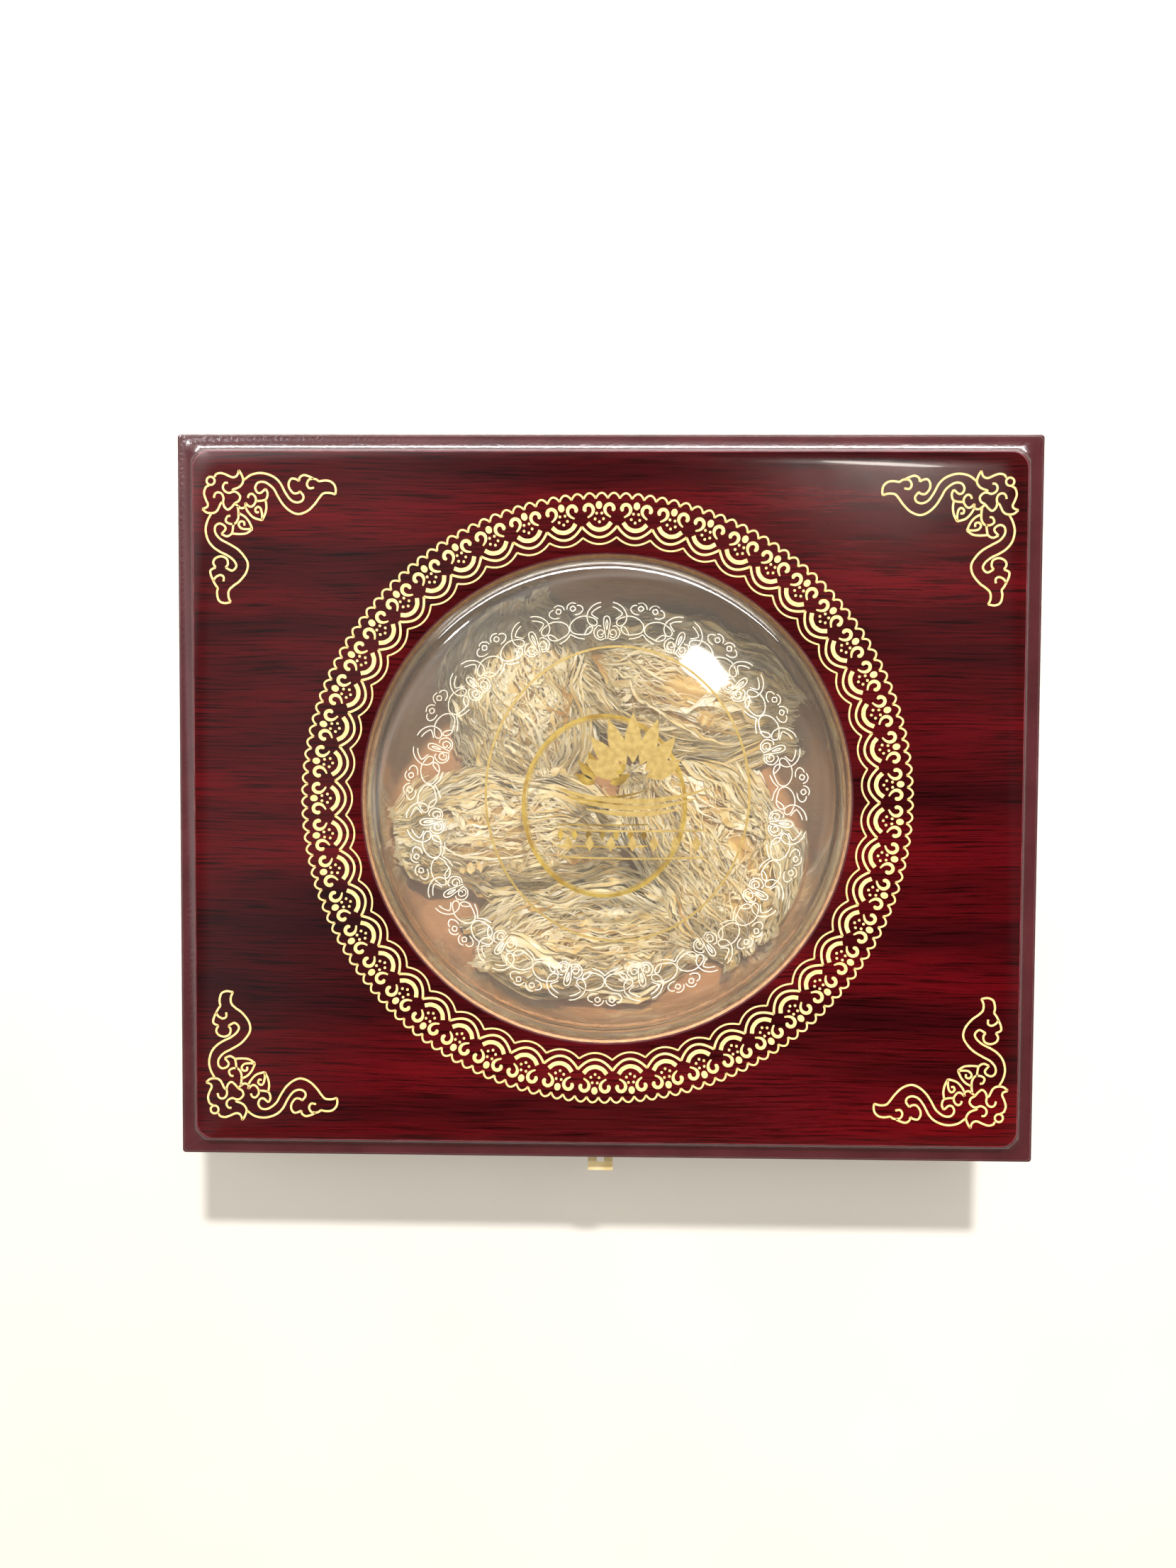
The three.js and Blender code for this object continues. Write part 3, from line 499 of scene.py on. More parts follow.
# the scroll of the back left corner, in a drawing's steps of about a third of a millimetre across
# and forwards: each line runs from one tip to the next
scroll = [
    [(20, 14.5), (22, 11.5), (27, 10.3), (33, 12), (40, 15), (44.3, 14), (46.5, 11), (47.5, 7)],
    [(47.5, 7), (50.5, 12), (52.5, 18.5), (50, 24), (46, 26.8), (41, 28.5), (40.3, 29.6)],
    [(35, 21.2), (31.5, 21.5), (29.3, 25.5), (31, 30), (36, 32.5), (41, 31), (45, 31.8), (48.7, 36),
     (47.5, 41), (43, 44), (39.5, 48), (35, 51.2), (31, 48), (29.5, 43), (30, 38), (28, 33.5), (24, 31.8),
     (20.5, 33.5), (19, 38)],
    [(13.5, 24), (9.8, 26.5), (8, 33), (10, 40), (12.2, 45), (11, 48.3), (6, 50.5)],
    [(6, 50.5), (11, 54.5), (18, 55), (22.5, 52.5), (25, 48), (27, 44), (29.3, 42.5)],
    [(53, 18), (62, 12), (74, 10.3), (86, 14), (94, 21), (100, 32), (106, 40), (113, 43), (119, 41),
     (120.5, 36), (116.5, 30.5)],
    [(116.5, 30.5), (114, 32.5), (109, 32.5), (104.5, 27), (104, 21), (107, 16.5), (112, 17), (115.5, 19)],
    [(115.5, 19), (116.5, 15), (121, 12.5), (127, 14), (132, 16.5), (135, 17.3), (138, 19.5)],
    [(138, 19.5), (145, 18.5), (151, 19.5), (155.5, 23.5), (157, 29), (156.5, 34)],
    [(156.5, 34), (150, 32.3), (143, 33), (139, 37), (133, 45), (125, 52.5), (115, 56), (106, 53), (98, 46),
     (92, 37), (87, 28), (80, 22), (74, 20), (68.5, 21.5), (66, 26.5), (68, 31.5), (72, 32.5), (76, 29.3),
     (78, 28)],
    [(78, 28), (80, 33), (78.5, 39), (74, 41), (67, 41.5)],
    [(57.5, 38), (59, 34.5), (62.5, 33.5), (66, 37), (66.5, 42), (63, 47), (59, 47.5), (54.5, 43.5)],
    [(54.5, 43.5), (54.5, 48), (50, 49.5), (46, 47), (43, 44.5)],
    [(54.5, 48), (58, 54), (64, 60), (73.5, 63)],
    [(73.5, 63), (77, 56), (78.5, 48), (77.5, 40)],
    [(73.5, 62), (73.5, 56), (72, 50), (69, 48), (66, 50.5), (67, 54), (70, 54)],
    [(132, 16.5), (127, 17.5), (124.5, 22.5), (127, 27), (132.5, 26.5)],
    [(16, 55.5), (11.5, 64), (9.5, 74), (12, 85), (18, 93), (26, 98.5), (35, 103), (42, 109), (44, 115),
     (39, 119.5), (32, 116)],
    [(32, 116), (34.5, 112), (33, 106), (26.5, 103.5), (20, 106), (18, 111), (20.5, 116)],
    [(20.5, 116), (15, 119), (15, 124), (17.5, 130), (20, 135), (23, 139)],
    [(23, 139), (22, 145), (24, 153), (30, 156), (37.5, 155)],
    [(37.5, 155), (35, 149), (35.5, 142), (40, 137), (48, 131), (55.5, 121), (57, 111), (52, 102), (45, 95),
     (35, 89), (26, 84), (20.5, 77), (20.5, 70), (25, 66.8), (30.5, 69), (32, 73), (27.5, 78.5)],
    [(27.5, 78.5), (33.5, 81), (39, 78), (40.5, 72), (41, 66)],
    [(37.5, 58), (34, 59), (32.5, 64), (37, 67), (43, 66.5), (46.5, 61), (46.8, 54), (46, 47)],
    [(47, 55), (54, 59), (59, 65), (62.5, 73)],
    [(62.5, 73), (56, 77.5), (48, 78.5), (40, 78)],
    [(62, 72.5), (56, 73), (50, 72), (47, 68), (49, 64.5), (53, 65), (53.5, 69)],
    [(29.5, 131.5), (29.5, 126.5), (25.5, 124.5), (20.5, 127), (18, 131)],
]
bead_across, bead_forward, bead_radius = 15.5, 19, 4.6
step, scroll_left, scroll_back, scroll_line = 0.3253, -150.6, 122.6, 0.75
mirrors = np.array([(1, 1), (1, -1), (-1, 1), (-1, -1)])[:, None]
strokes = [through(stretch, 6) for stretch in scroll]
turn = np.linspace(0, 2 * math.pi, 17)
strokes.append((bead_across, bead_forward) + bead_radius * np.stack([np.cos(turn), np.sin(turn)], -1))
bars = []
for stroke in strokes:
    drawn = (scroll_left, scroll_back) + stroke * (step, -step)
    bars.append(ribbons(drawn * mirrors, scroll_line, flat_lid))
corner_scrolls = new_piece("gold_corner_scrolls", *joined(bars), sharp=40)
for print_piece in (lace_border, corner_scrolls):
    print_piece.data.materials.append(gold_ink)
    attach(print_piece, "lid")


# Window dome: clear sheet, vacuum-formed and drawn out to 0.5 mm, with a shallow crown and a round
# shoulder. Its flange is glued under the panel. The sheet shows mostly by its highlights: its body
# bends light little and its surface mirrors it as a full-weight coat.
clear_sheet, tree, shader = new_material("vacuum-formed clear sheet", {
    "Base Color": linear("#fbf9f4"), "Transmission Weight": 0.985, "IOR": 1.12,
    "Coat Weight": 1.0, "Coat Roughness": 0.06, "Coat IOR": 1.5})
place = add_node(tree, "ShaderNodeTexCoord").outputs["Object"]
scuff = add_node(tree, "ShaderNodeTexNoise", {"Vector": place, "Scale": 25.0, "Detail": 3.0})
haze = add_node(tree, "ShaderNodeValToRGB", {"Fac": scuff.outputs["Fac"]},
                stops=[(0.35, (0.004, 0.004, 0.004, 1)), (0.7, (0.03, 0.03, 0.03, 1))])
tree.links.new(haze.outputs[0], shader.inputs["Roughness"])

dome_wall, dome_flange, dome_sheet, dome_rise, dome_crown, shoulder = 89.3, 100.0, 0.5, 16.0, 7.5, 9.0
flange_top, flange_thickness, flange_ease, wave_height = 70.7, 1.0, 0.2, 0.11
crown_edge = dome_wall - shoulder


def dome_height(radius, inset=0.0):
    """The crown falls as the square of the radius. Over the shoulder it falls by a quarter circle
    more."""
    over = np.clip((radius - crown_edge) / (shoulder - inset), 0, 1)
    crown = dome_crown * (radius / crown_edge) ** 2
    fall = (shoulder - inset) * (1 - np.sqrt(np.maximum(1 - over**2, 0)))
    return lid_top + dome_rise - inset - crown - fall


def dome_wave(x, y):
    """Waves left by the forming, 13 to 26 mm long, which die out over the shoulder."""
    fade = np.clip(1.15 - np.hypot(x, y) / crown_edge, 0, 1)
    return wave_height * fade * (np.sin(x / 4.1 + 1) * np.sin(y / 3.4) + 0.6 * np.sin((x + y) / 2.9 + 2))


def turned(profile, facets):
    """The profile of (radius, height) turned round the upright axis."""
    angle = np.linspace(0, 2 * math.pi, facets, endpoint=False)
    radius, height = np.asarray(profile, float).T
    return np.stack([radius[:, None] * np.cos(angle), radius[:, None] * np.sin(angle),
                     height[:, None] + 0 * angle], -1)


def dome_skin(inset):
    """From the middle out over the crown and the shoulder to the wall."""
    turn = np.linspace(0, 1, 14)[1:] * math.radians(86)
    radii = np.concatenate([np.linspace(0.5, crown_edge, 50), crown_edge + (shoulder - inset) * np.sin(turn)])
    return np.column_stack([radii, dome_height(radii, inset)])


flange_under = flange_top - flange_thickness
flange = [(dome_wall - dome_sheet, flange_top + 1.0), (dome_wall - 0.8, flange_under + 0.3),
          (dome_wall, flange_under), (dome_flange - flange_ease, flange_under),
          (dome_flange, flange_under + flange_ease), (dome_flange, flange_top - flange_ease),
          (dome_flange - flange_ease, flange_top), (dome_wall + 0.6, flange_top),
          (dome_wall + 0.1, flange_top + 0.6)]
profile = np.concatenate([dome_skin(dome_sheet), flange, dome_skin(0.0)[::-1]])
grid = turned(profile, 240)
grid[..., 2] += dome_wave(grid[..., 0], grid[..., 1])
dome = new_piece("clear_window_dome", *capped(grid), sharp=50)
dome.data.materials.append(clear_sheet)
dome.visible_shadow = False
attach(dome, "lid")
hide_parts("window_dome")


# Gold print on the dome: an oval ring, with an open lotus and a row of lozenges inside it,
# printed in matt gold ink on the crown.
def lotus_strokes(x, y, size):
    """Seven slender petals fanned from a point, with three bowed lines under them. Each petal is a
    line whose width swells as a sine and ends in a tip. Size is the middle petal's length."""
    s = np.linspace(0, 1, 13)
    strokes = []
    for lean, share in ((0, 1.0), (25, 0.97), (-25, 0.97), (50, 0.9), (-50, 0.9), (75, 0.78), (-75, 0.78)):
        bow = math.radians(lean) * (1 - 0.12 * s)
        reach = size * (0.26 + 0.74 * s) * share
        line = np.stack([x + reach * np.sin(bow), y + reach * np.cos(bow)], -1)
        strokes.append((line, 0.01 * size + 0.235 * size * np.sin(math.pi * s**0.85) ** 1.1))
    for drop, half in ((0.10, 1.15), (0.26, 0.95), (0.42, 0.7)):
        across = np.linspace(-half, half, 13)
        line = np.stack([x + size * across, y - size * (drop + 0.16 * (half**2 - across**2))], -1)
        strokes.append((line, 0.07 * size * (1.05 - (across / half) ** 2) + 0.15))
    return strokes


def lozenge_strokes(x, y, count, pitch, size):
    """A row of lozenges, each a short line whose width goes from nothing to full and back."""
    s = np.linspace(-1, 1, 9)
    width = 1.1 * size * (1 - np.abs(s)) + 0.05
    middles = x + pitch * (np.arange(count) - (count - 1) / 2)
    return [(np.stack([middle + 0 * s, y + size * s], -1), width) for middle in middles]


def oval_stroke(x, y, half_across, half_up, width):
    """An oval line: its points go round as a cosine across and a sine up."""
    angle = np.linspace(0, 2 * math.pi, 97)
    return np.stack([x + half_across * np.cos(angle), y + half_up * np.sin(angle)], -1), width


def printed(name, strokes, height_of):
    """A print of ribbons on a sheet. A stroke of only a few points is drawn as a smooth line."""
    bars = [ribbons((through(line, 2) if len(line) < 5 else line)[None], width, height_of, 0.04)
            for line, width in strokes]
    return new_piece(name, *joined(bars), sharp=40)


strokes = [oval_stroke(4.1, 3.0, 47.0, 52.6, 0.8)]
strokes += lotus_strokes(9.5, 8.0, 24.0)
strokes += lozenge_strokes(9.5, -14.5, 7, 7.6, 2.9)
strokes += [(np.array([(-16.0, y), (9.5, y - 0.5), (35.0, y)]), 0.7) for y in (-9.6, -19.4)]


def on_dome(x, y):
    """The ink lies on the crown."""
    return dome_height(np.hypot(x, y)) + dome_wave(x, y)


dome_print = printed("gold_window_print", strokes, on_dome)
window_ink, tree, shader = new_material("gold ink on clear sheet", {"Metallic": 0.2, "Roughness": 0.4})
mottled(tree, shader, 500.0, 3.0, "#a08850", "#bba468")
dome_print.data.materials.append(window_ink)
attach(dome_print, "lid")


# Satin insert: foam board 39 mm thick with a round well, wrapped in golden brown satin.
# The satin is gathered into the well, so its wall falls in soft upright folds.
satin, tree, shader = new_material("woven golden brown satin", {
    "Roughness": 0.38, "Sheen Weight": 0.12, "Sheen Roughness": 0.4, "Sheen Tint": linear("#e0b98e")})
place = add_node(tree, "ShaderNodeTexCoord").outputs["Object"]
slub = drawn_out(tree, place, (150.0, 1500.0, 150.0), 3.0)["Fac"]
tint = add_node(tree, "ShaderNodeValToRGB", {"Fac": slub},
                stops=[(0.3, linear("#a87042")), (0.7, linear("#c08c5a"))])
tree.links.new(tint.outputs[0], shader.inputs["Base Color"])
# threads are 0.2 mm apart in real satin: drawn about 2 mm apart, so that they show
threads = add_node(tree, "ShaderNodeTexWave", {"Vector": place, "Scale": 200.0, "Distortion": 1.0},
                   wave_type="BANDS", bands_direction="DIAGONAL").outputs["Fac"]
bump = add_node(tree, "ShaderNodeBump", {"Height": threads, "Strength": 0.15, "Distance": 0.0003})
tree.links.new(bump.outputs[0], shader.inputs["Normal"])

insert_half = np.array([146.0, 121.0])
insert_corner, insert_edge = 8.0, 3.0
insert_bottom, insert_top, well_radius, well_floor = 10.3, 49.3, 95.5, 12.3
columns = 480
angle = np.linspace(0, 2 * math.pi, columns, endpoint=False)
draw_of = np.random.default_rng(11)
gather = sum(draw_of.uniform(0.4, 1) * np.cos(count * angle + draw_of.uniform(0, 6.28))
             for count in (37, 53, 71, 96))
gather = gather / np.abs(gather).max()


def insert_outline(inset, height):
    """The block's outline: for each direction, where it meets a rectangle with rounded corners,
    worked out as a superellipse of a high power."""
    half = insert_half - inset
    power = 2 * half.min() / insert_corner
    share_across, share_back = np.abs(np.cos(angle) / half[0]), np.abs(np.sin(angle) / half[1])
    reach = (share_across ** power + share_back ** power) ** (-1 / power)
    return np.column_stack([reach * np.cos(angle), reach * np.sin(angle), np.full(columns, height)])


def well_loop(radius, height, fold):
    """A circle whose radius swells and sinks with the gathers."""
    radius = radius + fold * (0.5 + 0.5 * gather)
    return np.column_stack([radius * np.cos(angle), radius * np.sin(angle), np.full(columns, height)])


def top_loop(share):
    """On the top face, between the well's lip and the outline, sinking where the satin is pulled."""
    inner = well_loop(well_radius + insert_edge, insert_top, 0)
    loop = inner + (insert_outline(insert_edge, insert_top) - inner) * share
    loop[:, 2] -= 0.5 * (1 - share) * (0.5 + 0.5 * gather) + 0.25 * math.sin(math.pi * share)
    return loop


# from the middle of the well's floor up its wall, over the lip, across the top and down the outside
lip = np.linspace(0, math.pi / 2, 7)[1:-1]
loops = [well_loop(radius, well_floor, 0) for radius in (1, 30, 60, 85, 93)]
loops += [well_loop(95, well_floor + 0.4, 0.2), well_loop(well_radius, well_floor + 2, 0.6)]
loops += [well_loop(well_radius + 0.1, height, 1.3) for height in np.linspace(16, 45, 12)]
loops += [well_loop(well_radius + insert_edge * (1 - math.cos(a)),
                    insert_top - insert_edge * (1 - math.sin(a)), 1.2 * (1 - a / 1.6)) for a in lip]
loops += [top_loop(share) for share in np.linspace(0, 1, 12)]
loops += [insert_outline(insert_edge * (1 - math.sin(a)), insert_top - insert_edge * (1 - math.cos(a)))
          for a in lip]
loops += [insert_outline(0, height) for height in np.linspace(insert_top - insert_edge, insert_bottom + 1, 6)]
loops += [insert_outline(0.8, insert_bottom)]
satin_insert = new_piece("satin_wrapped_insert", *capped(np.stack(loops)), sharp=60)
satin_insert.data.materials.append(satin)
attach(satin_insert, "base")
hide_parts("satin_insert")


# Container tray: a round clear tub formed from 1.2 mm sheet. It stands in the well and its flat
# flange lies on the satin.
tray_bottom, tray_rise, tray_sheet, tray_radius, flange_radius = 12.6, 37.0, 1.2, 94.0, 100.0
tray_floor, tray_corner, tray_ease = 91.0, 4.0, 0.3


def tub_wall(inset):
    """Floor, rounded corner and leaning wall, at a distance in from the outer skin."""
    turn = np.linspace(0, math.pi / 2, 9)
    corner = tray_corner - inset
    floor = np.column_stack([np.linspace(0.5, tray_floor - tray_corner, 6), np.full(6, inset)])
    bend = np.column_stack([tray_floor - tray_corner + corner * np.sin(turn),
                            tray_corner - corner * np.cos(turn)])
    wall_height = np.linspace(tray_corner, tray_rise, 7)[1:]
    lean = (tray_radius - tray_floor) * (wall_height - tray_corner) / (tray_rise - tray_corner)
    wall = np.column_stack([tray_floor - inset + lean, wall_height])
    return np.concatenate([floor, bend[1:], wall])


outer, inner = tub_wall(0.0), tub_wall(tray_sheet)
rim_top = tray_rise + tray_sheet
inner[-1, 1] = rim_top
flange = [(flange_radius - tray_ease, tray_rise), (flange_radius, tray_rise + tray_ease),
          (flange_radius, rim_top - tray_ease), (flange_radius - tray_ease, rim_top)]
profile = np.concatenate([outer, flange, inner[::-1]]) + (0, tray_bottom)
tray = new_piece("clear_container_tray", *capped(turned(profile, 240)), sharp=50)
tray.data.materials.append(clear_sheet)
tray.visible_shadow = False
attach(tray, "base")
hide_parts("container_tray")


# Container cover: a shallow clear lid with a raised disc in its middle. A ring of fifteen ornaments
# is pressed into the sheet round the disc, as ridges that catch the light.
cover_level, disc_height, field_height = 51.1, 8.2, 7.2
relief_count, relief_width, relief_rise = 15, 0.42, 0.3
relief_centre_x, relief_centre_y = -0.2, -2.6
relief_step, relief_middle, relief_top = 0.0305, 820, 81.2

# the right half of one ornament, in a drawing's steps across and in towards the ring's centre
half_motif = [
    [(895, 110), (960, 130), (1020, 175), (1060, 235), (1070, 290), (1060, 350), (1020, 395), (975, 405),
     (945, 380), (950, 340), (990, 310), (1055, 290)],
    [(895, 165), (950, 190), (1000, 230), (1010, 265), (930, 320)],
    [(1075, 282), (1150, 290), (1230, 330), (1282, 395), (1280, 460), (1240, 500), (1170, 515), (1100, 520)],
    [(1275, 515), (1200, 555), (1100, 572)],
    [(1000, 420), (1040, 420), (1080, 470), (1095, 520), (1050, 505), (1010, 470), (1000, 420)],
    [(890, 412), (930, 405), (965, 440), (985, 490), (960, 550), (900, 582), (850, 565)],
    [(862, 530), (885, 552), (920, 548), (940, 515), (930, 470), (895, 455), (862, 480), (870, 510),
     (900, 515)],
    [(820, 280), (850, 300), (862, 360), (850, 450), (832, 570)],
    [(820, 330), (832, 370), (828, 420), (820, 455)],
    [(1225, 270), (1160, 250), (1122, 200), (1150, 155), (1200, 148)],
    [(1215, 125), (1270, 118), (1318, 155), (1328, 205)],
    [(1250, 155), (1285, 190), (1250, 225), (1215, 190), (1250, 155)],
]
relief_corner = np.array([-relief_middle * relief_step, relief_top])
half_lines = [through(relief_corner + np.array(stroke) * (relief_step, -relief_step), 4)
              for stroke in half_motif]
segments = np.concatenate([np.concatenate([line[:-1], line[1:]], 1) for line in half_lines])


def distance_to_strokes(x, y):
    """The shortest distance from each point to any segment: the point is dropped onto the segment,
    and the foot is kept between its ends."""
    start, run = segments[:, :2], segments[:, 2:] - segments[:, :2]
    px, py = x.ravel()[:, None] - start[:, 0], y.ravel()[:, None] - start[:, 1]
    share = np.clip((px * run[:, 0] + py * run[:, 1]) / ((run**2).sum(1) + 1e-12), 0, 1)
    return np.hypot(px - share * run[:, 0], py - share * run[:, 1]).min(1).reshape(x.shape)


columns = relief_count * 72
angle = np.linspace(0, 2 * math.pi, columns, endpoint=False)
relief_radii = np.linspace(61.4, 80.6, 46)
# the sheet's upper skin: a dimple in the disc's middle, the disc and its edge, the ring, the skirt
disc = [(0.5, disc_height), (3.6, disc_height), (4.1, 7.85)]
disc += [(radius, disc_height) for radius in (4.6, 20, 40, 56)]
disc += [(58.8, 8.18), (59.3, 8.05), (59.8, 7.7), (60.3, 7.35), (60.8, 7.22)]
ring = [(radius, field_height) for radius in relief_radii]
skirt = [(83, field_height), (86.5, field_height), (88.3, 7.15), (89.2, 6.9), (89.9, 6.3), (90.5, 5.0),
         (91.5, 2.2), (91.9, 1.5), (92.6, 1.22), (94, 1.2), (97, 1.2), (99.2, 1.2), (99.5, 0.9)]
# the lower skin, from the rim back to the middle
under = [(99.5, 0.3), (99.2, 0), (96, 0), (91.6, 0), (90.9, 0.4), (90.3, 1.8), (89.2, 4.8), (88.7, 5.6),
         (88, 5.95), (86.5, 6), (75, 6), (61, 6), (60.3, 6.15), (59.6, 6.6), (59, 6.95), (56, 7), (30, 7),
         (0.5, 7)]
grid = turned(np.array(disc + ring + skirt + under) + (0, cover_level), columns)
block = grid[len(disc):len(disc + ring)]
off_x, off_y = block[..., 0] - relief_centre_x, block[..., 1] - relief_centre_y
relief_pitch = 2 * math.pi / relief_count
bearing = (np.arctan2(off_x, off_y) + relief_pitch / 2) % relief_pitch - relief_pitch / 2
reach = np.hypot(off_x, off_y)
distance = distance_to_strokes(reach * np.sin(np.abs(bearing)), reach * np.cos(bearing))
block[..., 2] += relief_rise * np.exp(-(distance / relief_width) ** 2)
cover = new_piece("clear_container_cover", *capped(grid), sharp=60)
cover.data.materials.append(clear_sheet)
cover.visible_shadow = False
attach(cover, "base")
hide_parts("container_cover")


# Ridge crests on the cover: along each pressed ridge the sheet is stretched and has gone a little
# white. Beyond that, the crests are painted near white as a painted highlight, so the ornament
# shows as fine lines.
stretched, tree, shader = new_material("clear sheet stretched white with painted highlight", {
    "Roughness": 0.2, "Transmission Weight": 0.25})
# near-white crest colour: partly stress whitening, partly painted highlight of the light the ridges catch
mottled(tree, shader, 60.0, 2.0, "#e9e2d4", "#fffdf8")
crest_width = 0.38


def on_crest(x, y):
    """The lines lie on the ridges."""
    return np.full_like(x, cover_level + field_height + relief_rise)


spin = (relief_pitch * np.arange(relief_count))[:, None]
bars = []
for line in half_lines:
    for mirror in (1, -1):
        x, y = (line * (mirror, 1)).T
        copies = np.stack([relief_centre_x + x * np.cos(spin) + y * np.sin(spin),
                           relief_centre_y + y * np.cos(spin) - x * np.sin(spin)], -1)
        bars.append(ribbons(copies, crest_width, on_crest))
ridge_crests = new_piece("pressed_ridge_crests", *joined(bars), sharp=40)
ridge_crests.data.materials.append(stretched)
ridge_crests.visible_shadow = False
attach(ridge_crests, "base")


# Gold foil on the cover: hot-stamped oval ring with a small lotus and lozenges, brighter and darker
# by turns than the ink because it mirrors the room.
gold_foil, tree, shader = new_material("hot-stamped gold foil", {"Metallic": 0.55, "Roughness": 0.34})
creases = mottled(tree, shader, 160.0, 2.0, "#b8932e", "#e2c45c", (0.35, 0.65))[1]
bump = add_node(tree, "ShaderNodeBump", {"Height": creases, "Strength": 0.3, "Distance": 0.001})
tree.links.new(bump.outputs[0], shader.inputs["Normal"])
strokes = [oval_stroke(-0.8, -3.3, 31.3, 34.9, 1.5), oval_stroke(-0.8, -3.3, 30.1, 33.7, 0.35)]
strokes += lotus_strokes(-1.5, 4.5, 15.0)
strokes += lozenge_strokes(-1.5, -14.5, 7, 5.4, 2.3)
strokes += [(np.array([(-19.0, y), (-1.5, y - 0.4), (16.0, y)]), 0.5) for y in (-10.4, -18.8)]


def on_disc(x, y):
    """The foil lies on the raised disc."""
    return np.full_like(x, cover_level + disc_height)


cover_print = printed("gold_foil_print", strokes, on_disc)
cover_print.data.materials.append(gold_foil)
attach(cover_print, "base")


# Nests: five dried swiftlet nests, each a half cup of hardened strands pressed into a boat shape.
# The strands run along the nest in layers, fused in places, translucent and cream to straw in colour.
# The deeper layers and the filled middle are painted darker brown, as painted shade between the strands.
nest_strands, tree, shader = new_material("dried translucent nest strands", {
    "Roughness": 0.36, "IOR": 1.5, "Coat Weight": 1.0, "Coat Roughness": 0.14,
    "Subsurface Weight": 0.25, "Subsurface Radius": (1.0, 0.7, 0.4), "Subsurface Scale": 0.002})
place = add_node(tree, "ShaderNodeTexCoord").outputs["Object"]
shade_and_tone = add_node(tree, "ShaderNodeAttribute", attribute_name="shade_and_tone").outputs["Fac"]
# colour from dark brown, the painted shade deep in the nest, up to pale cream
tint = add_node(tree, "ShaderNodeValToRGB", {"Fac": shade_and_tone},
                stops=[(0.0, linear("#a97b3c")), (1.0, linear("#f9f4e6")), (0.25, linear("#d6b778")),
                       (0.6, linear("#eadcb6"))])
tree.links.new(tint.outputs[0], shader.inputs["Base Color"])
crust = add_node(tree, "ShaderNodeTexNoise", {"Vector": place, "Scale": 900.0, "Detail": 3.0})
bump = add_node(tree, "ShaderNodeBump", {"Height": crust.outputs["Fac"], "Strength": 0.4, "Distance": 0.0005})
tree.links.new(bump.outputs[0], shader.inputs["Normal"])

nest_floor, bend_reach, strand_top = 14.1, 89.0, 46.0
bend_rise, wall_lean, wall_gap = 1.3, 0.085, 0.1
# name, centre across, centre back, direction in degrees, length, width, height and sideways bend
nests = [("nest_upper_left", -35, 42, 98.5, 71.5, 49, 29, 5),
         ("nest_upper_right", 32.5, 44.5, -17, 88, 48, 28, -4),
         ("nest_left", -42, -18, -1, 88, 42.5, 30, 5),
         ("nest_right", 43.5, -24.5, 119, 84, 51, 29, -5),
         ("nest_lower", -9.5, -62, 4, 85, 41.5, 28, 4)]
# fine strands, broad fused ones, and loose ones low on both sides: locks, strands, points a strand, the
# share of the nest that a lock spans, widest in millimetres, lowest and highest angle up the side, and
# how much wider and flatter than the nest they lie
strand_kinds = [(70, 460, 17, (0.5, 1.4), 1.1, 0.15, 2.99, 0.00, 0.0),
                (90, 330, 13, (0.2, 0.6), 5.0, 0.10, 3.04, 0.04, 0.0),
                (70, 560, 15, (0.5, 1.4), 2.4, -0.10, 0.85, 0.48, 0.55)]
# how deep the lowest strands lie, how thick the layers are, and how far a strand can arch out
sunk, layers, arch = 2.2, 3.4, 2.6


def nest_surface(t, angle, length, width, height, bend, phase):
    """A point of the nest's outside: t goes along it from -1 to 1 and angle round it. The section is
    a crowned oval on a flat foot. It tapers as (1 - |t|^3)^0.6, not further than nine tenths of the
    way, so the ends are blunt. The middle line is bowed, and low waves make lumps."""
    taper = (1 - np.minimum(np.abs(t), 0.9) ** 3.0) ** 0.6
    lift = 0.6 + 0.4 * taper
    lump = 0.95 + 0.05 * np.sin(7 * t + 2 * angle + phase) + 0.03 * np.sin(13 * t - 3 * angle + 2 * phase)
    crown = np.where(np.sin(angle) > 0, np.maximum(np.sin(angle), 0) ** 0.85, 0.25 * np.sin(angle))
    across = bend * (0.5 - t**2) + 0.5 * width * taper * lump * np.cos(angle)
    rise = height * lift * taper * (0.18 + 0.8 * crown * lump)
    return np.stack([t * length / 2, across, np.maximum(rise, 0.0)], -1)


def nest_core(draw_of, shape):
    """The filled middle, a little inside the nest's surface. Fine ridges run along it, each a sine
    of the angle that wanders with t. Returns points, quads, triangles and colour values, low
    and lower still in the grooves between the ridges: painted shade."""
    t = np.linspace(-0.95, 0.95, 70)[:, None]
    angle = np.linspace(0, 2 * math.pi, 110, endpoint=False)[None, :]
    body = nest_surface(t + 0 * angle, angle + 0 * t, *shape)
    relief = 0
    for count in (11, 17, 23, 31):
        strength = draw_of.uniform(0.3, 1)
        wander = draw_of.uniform(-9, 9) * t + draw_of.uniform(0, 6) + 1.5 * np.sin(draw_of.uniform(2, 7) * t)
        relief = relief + strength * np.sin(count * angle + wander)
    relief = relief / np.abs(relief).max()
    middle = body.mean(1, keepdims=True)
    body = middle + (body - middle) * (0.84 + 0.05 * relief)[..., None]
    body[..., 2] = np.maximum(body[..., 2], 0)
    # the middle gets low values that follow the ridges: painted shade, darkest in the grooves
    return *capped(body), np.concatenate([(0.2 + 0.15 * relief).ravel(), [0.1, 0.1]])


def direction_of(step):
    """Steps between points, each cut to a length of one."""
    return step / (np.linalg.norm(step, axis=2, keepdims=True) + 1e-9)


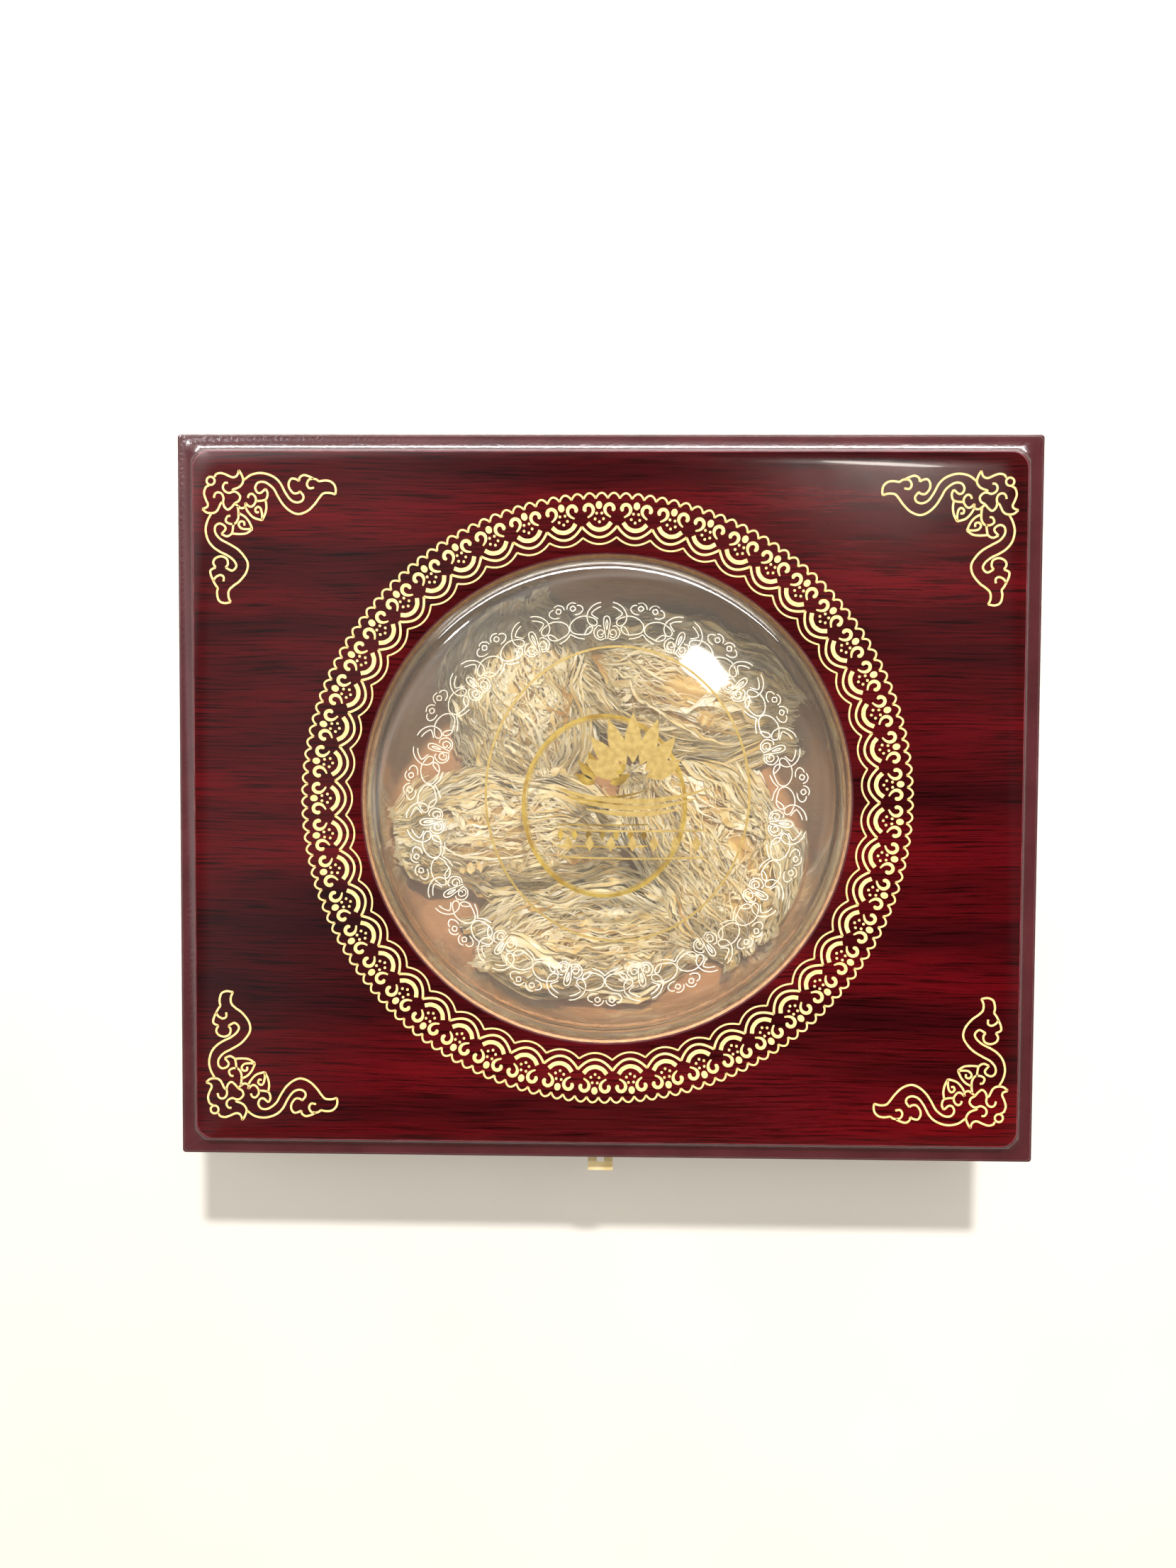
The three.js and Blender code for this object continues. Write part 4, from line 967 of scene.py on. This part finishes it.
def strand_set(draw_of, shape, locks, count, steps, span_range, widest, lowest, highest, swell, squat):
    """Strands in locks that share a path from end to end of a stretch, at an angle up the nest's side
    that drifts and wavers. Each is a flat bar that stands off the surface by its lock's depth, arches,
    twists, and narrows to its ends as the root of a sine. Returns bars and their colour values, which
    vary at random and carry painted shade: the lower a lock lies in the layers, the darker it is."""
    lock = draw_of.integers(0, locks, count)

    def any_of(least, most):
        """A value for each strand."""
        return draw_of.uniform(least, most, (count, 1))

    def of_lock(least, most):
        """A value for each lock, shared by its strands."""
        return draw_of.uniform(least, most, (locks, 1))[lock]

    def scatter(spread):
        """A normal deviation for each strand."""
        return draw_of.normal(0, spread, (count, 1))

    s = np.linspace(0, 1, steps)[None, :]
    part = any_of(0.0, 0.35) + (any_of(0.65, 1.0) - any_of(0.0, 0.35)) * s
    span = of_lock(*span_range)
    t = np.clip(of_lock(-1.1, 1.1) - span / 2 + span * part, -1.0, 1.0) * any_of(1.0, 1.1) + 0.003 * s
    angle = of_lock(lowest, highest) + draw_of.normal(0, 0.55, (locks, 1))[lock] * (part - 0.5)
    angle = angle + of_lock(0.02, 0.15) * np.sin(of_lock(3, 11) * part + of_lock(0, 6.28))
    angle = angle + scatter(0.12) + any_of(0.01, 0.07) * np.sin(any_of(5, 24) * s + any_of(0, 6.28))
    if squat:
        angle = np.where(of_lock(0, 1) < 0.5, angle, math.pi - angle)
    out = of_lock(0, 1) * any_of(0.6, 1.0)
    length, width, height, bend, phase = shape
    length, width = length * (1 + 0.45 * swell * out), width * (1 + swell * out)
    laid = (length, width, height * (1 - squat * out), bend, phase)
    here = nest_surface(t, angle, *laid)
    sideways = direction_of(nest_surface(t, angle + 0.02, *laid) - here)
    outwards = np.cross(direction_of(np.gradient(here, axis=1)), sideways)
    depth = np.clip(of_lock(0, 1) + scatter(0.12), 0, 1)
    stand = layers * depth - sunk + arch * any_of(0, 1) ** 4 * np.sin(math.pi * s)
    here = here + outwards * stand[..., None]
    wide = any_of(0.3, 0.6) + widest * any_of(0, 1) ** 2.5
    fade = np.sqrt(np.maximum(np.sin(math.pi * np.clip(s, 0.03, 0.97)), 0.03))
    half_wide = (0.5 * wide * fade)[..., None]
    half_thick = (any_of(0.07, 0.2) * fade)[..., None]
    twist = (scatter(0.5) + scatter(0.6) * np.sin(any_of(2, 9) * s))[..., None]
    edge = sideways * np.cos(twist) + outwards * np.sin(twist)
    face = outwards * np.cos(twist) - sideways * np.sin(twist)
    bar = np.stack([here - edge * half_wide, here - face * half_thick, here + edge * half_wide,
                    here + face * half_thick], 2)
    bar[..., 2] = np.maximum(bar[..., 2], 0.02)
    # random variation, plus painted shade: strands lower in the layers are darker
    shade_and_tone = 0.42 + 0.40 * depth + scatter(0.15) + 0.15 * np.sin(any_of(5, 20) * s)
    return bar, np.clip(shade_and_tone, 0, 1).ravel().repeat(4)


def laid_in_tray(points, across, back, direction):
    """Turned and moved to the nest's place. What would pass through the tray's leaning wall is turned
    up along it instead, but not as high as the cover."""
    turn = math.radians(direction)
    points = np.column_stack([across + points[:, 0] * math.cos(turn) - points[:, 1] * math.sin(turn),
                              back + points[:, 0] * math.sin(turn) + points[:, 1] * math.cos(turn),
                              nest_floor + points[:, 2]])
    reach, height = np.hypot(points[:, 0], points[:, 1]), points[:, 2]
    risen = height + bend_rise * np.maximum(reach - bend_reach, 0)
    points[:, 2] = np.minimum(risen, np.maximum(height, strand_top))
    wall = bend_reach - wall_gap + wall_lean * (points[:, 2] - nest_floor)
    points[:, :2] *= np.minimum(1, wall / np.maximum(reach, 1))[:, None]
    return points


for number, (name, across, back, direction, *sizes) in enumerate(nests):
    draw_of = np.random.default_rng(100 + number)
    shape = (*sizes, 1.3 * number)
    core, core_quads, triangles, core_shade_and_tone = nest_core(draw_of, shape)
    sets = [strand_set(draw_of, shape, *kind) for kind in strand_kinds]
    strands, strand_quads = joined([bars for bars, shade_and_tone in sets])
    points = laid_in_tray(np.concatenate([core, strands]), across, back, direction)
    quads = np.concatenate([core_quads, strand_quads[:, ::-1] + len(core)])
    nest = new_piece(f"{name}_strands", points, quads, triangles, sharp=70)
    layer = nest.data.attributes.new("shade_and_tone", "FLOAT", "POINT")
    layer.data.foreach_set("value", np.concatenate([core_shade_and_tone] + [shade_and_tone for bars, shade_and_tone in sets]))
    nest.data.materials.append(nest_strands)
    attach(nest, "base")
    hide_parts(name)


# Hinges, latch and screws: stamped brass sheet and turned screw heads, polished and lacquered.
# Handling has left the polish a little uneven. The pieces are the solids themselves.
brass, tree, shader = new_material("polished lacquered brass", {"Metallic": 0.5})
handling = mottled(tree, shader, 220.0, 3.0, "#e6cd90", "#f8e8bc")[1]
polish = add_node(tree, "ShaderNodeValToRGB", {"Fac": handling},
                  stops=[(0.3, (0.16, 0.16, 0.16, 1)), (0.7, (0.28, 0.28, 0.28, 1))])
tree.links.new(polish.outputs[0], shader.inputs["Roughness"])
for name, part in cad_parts.items():
    if name.startswith(("hinge_", "latch_")):
        part.data.materials.clear()
        part.data.materials.append(brass)
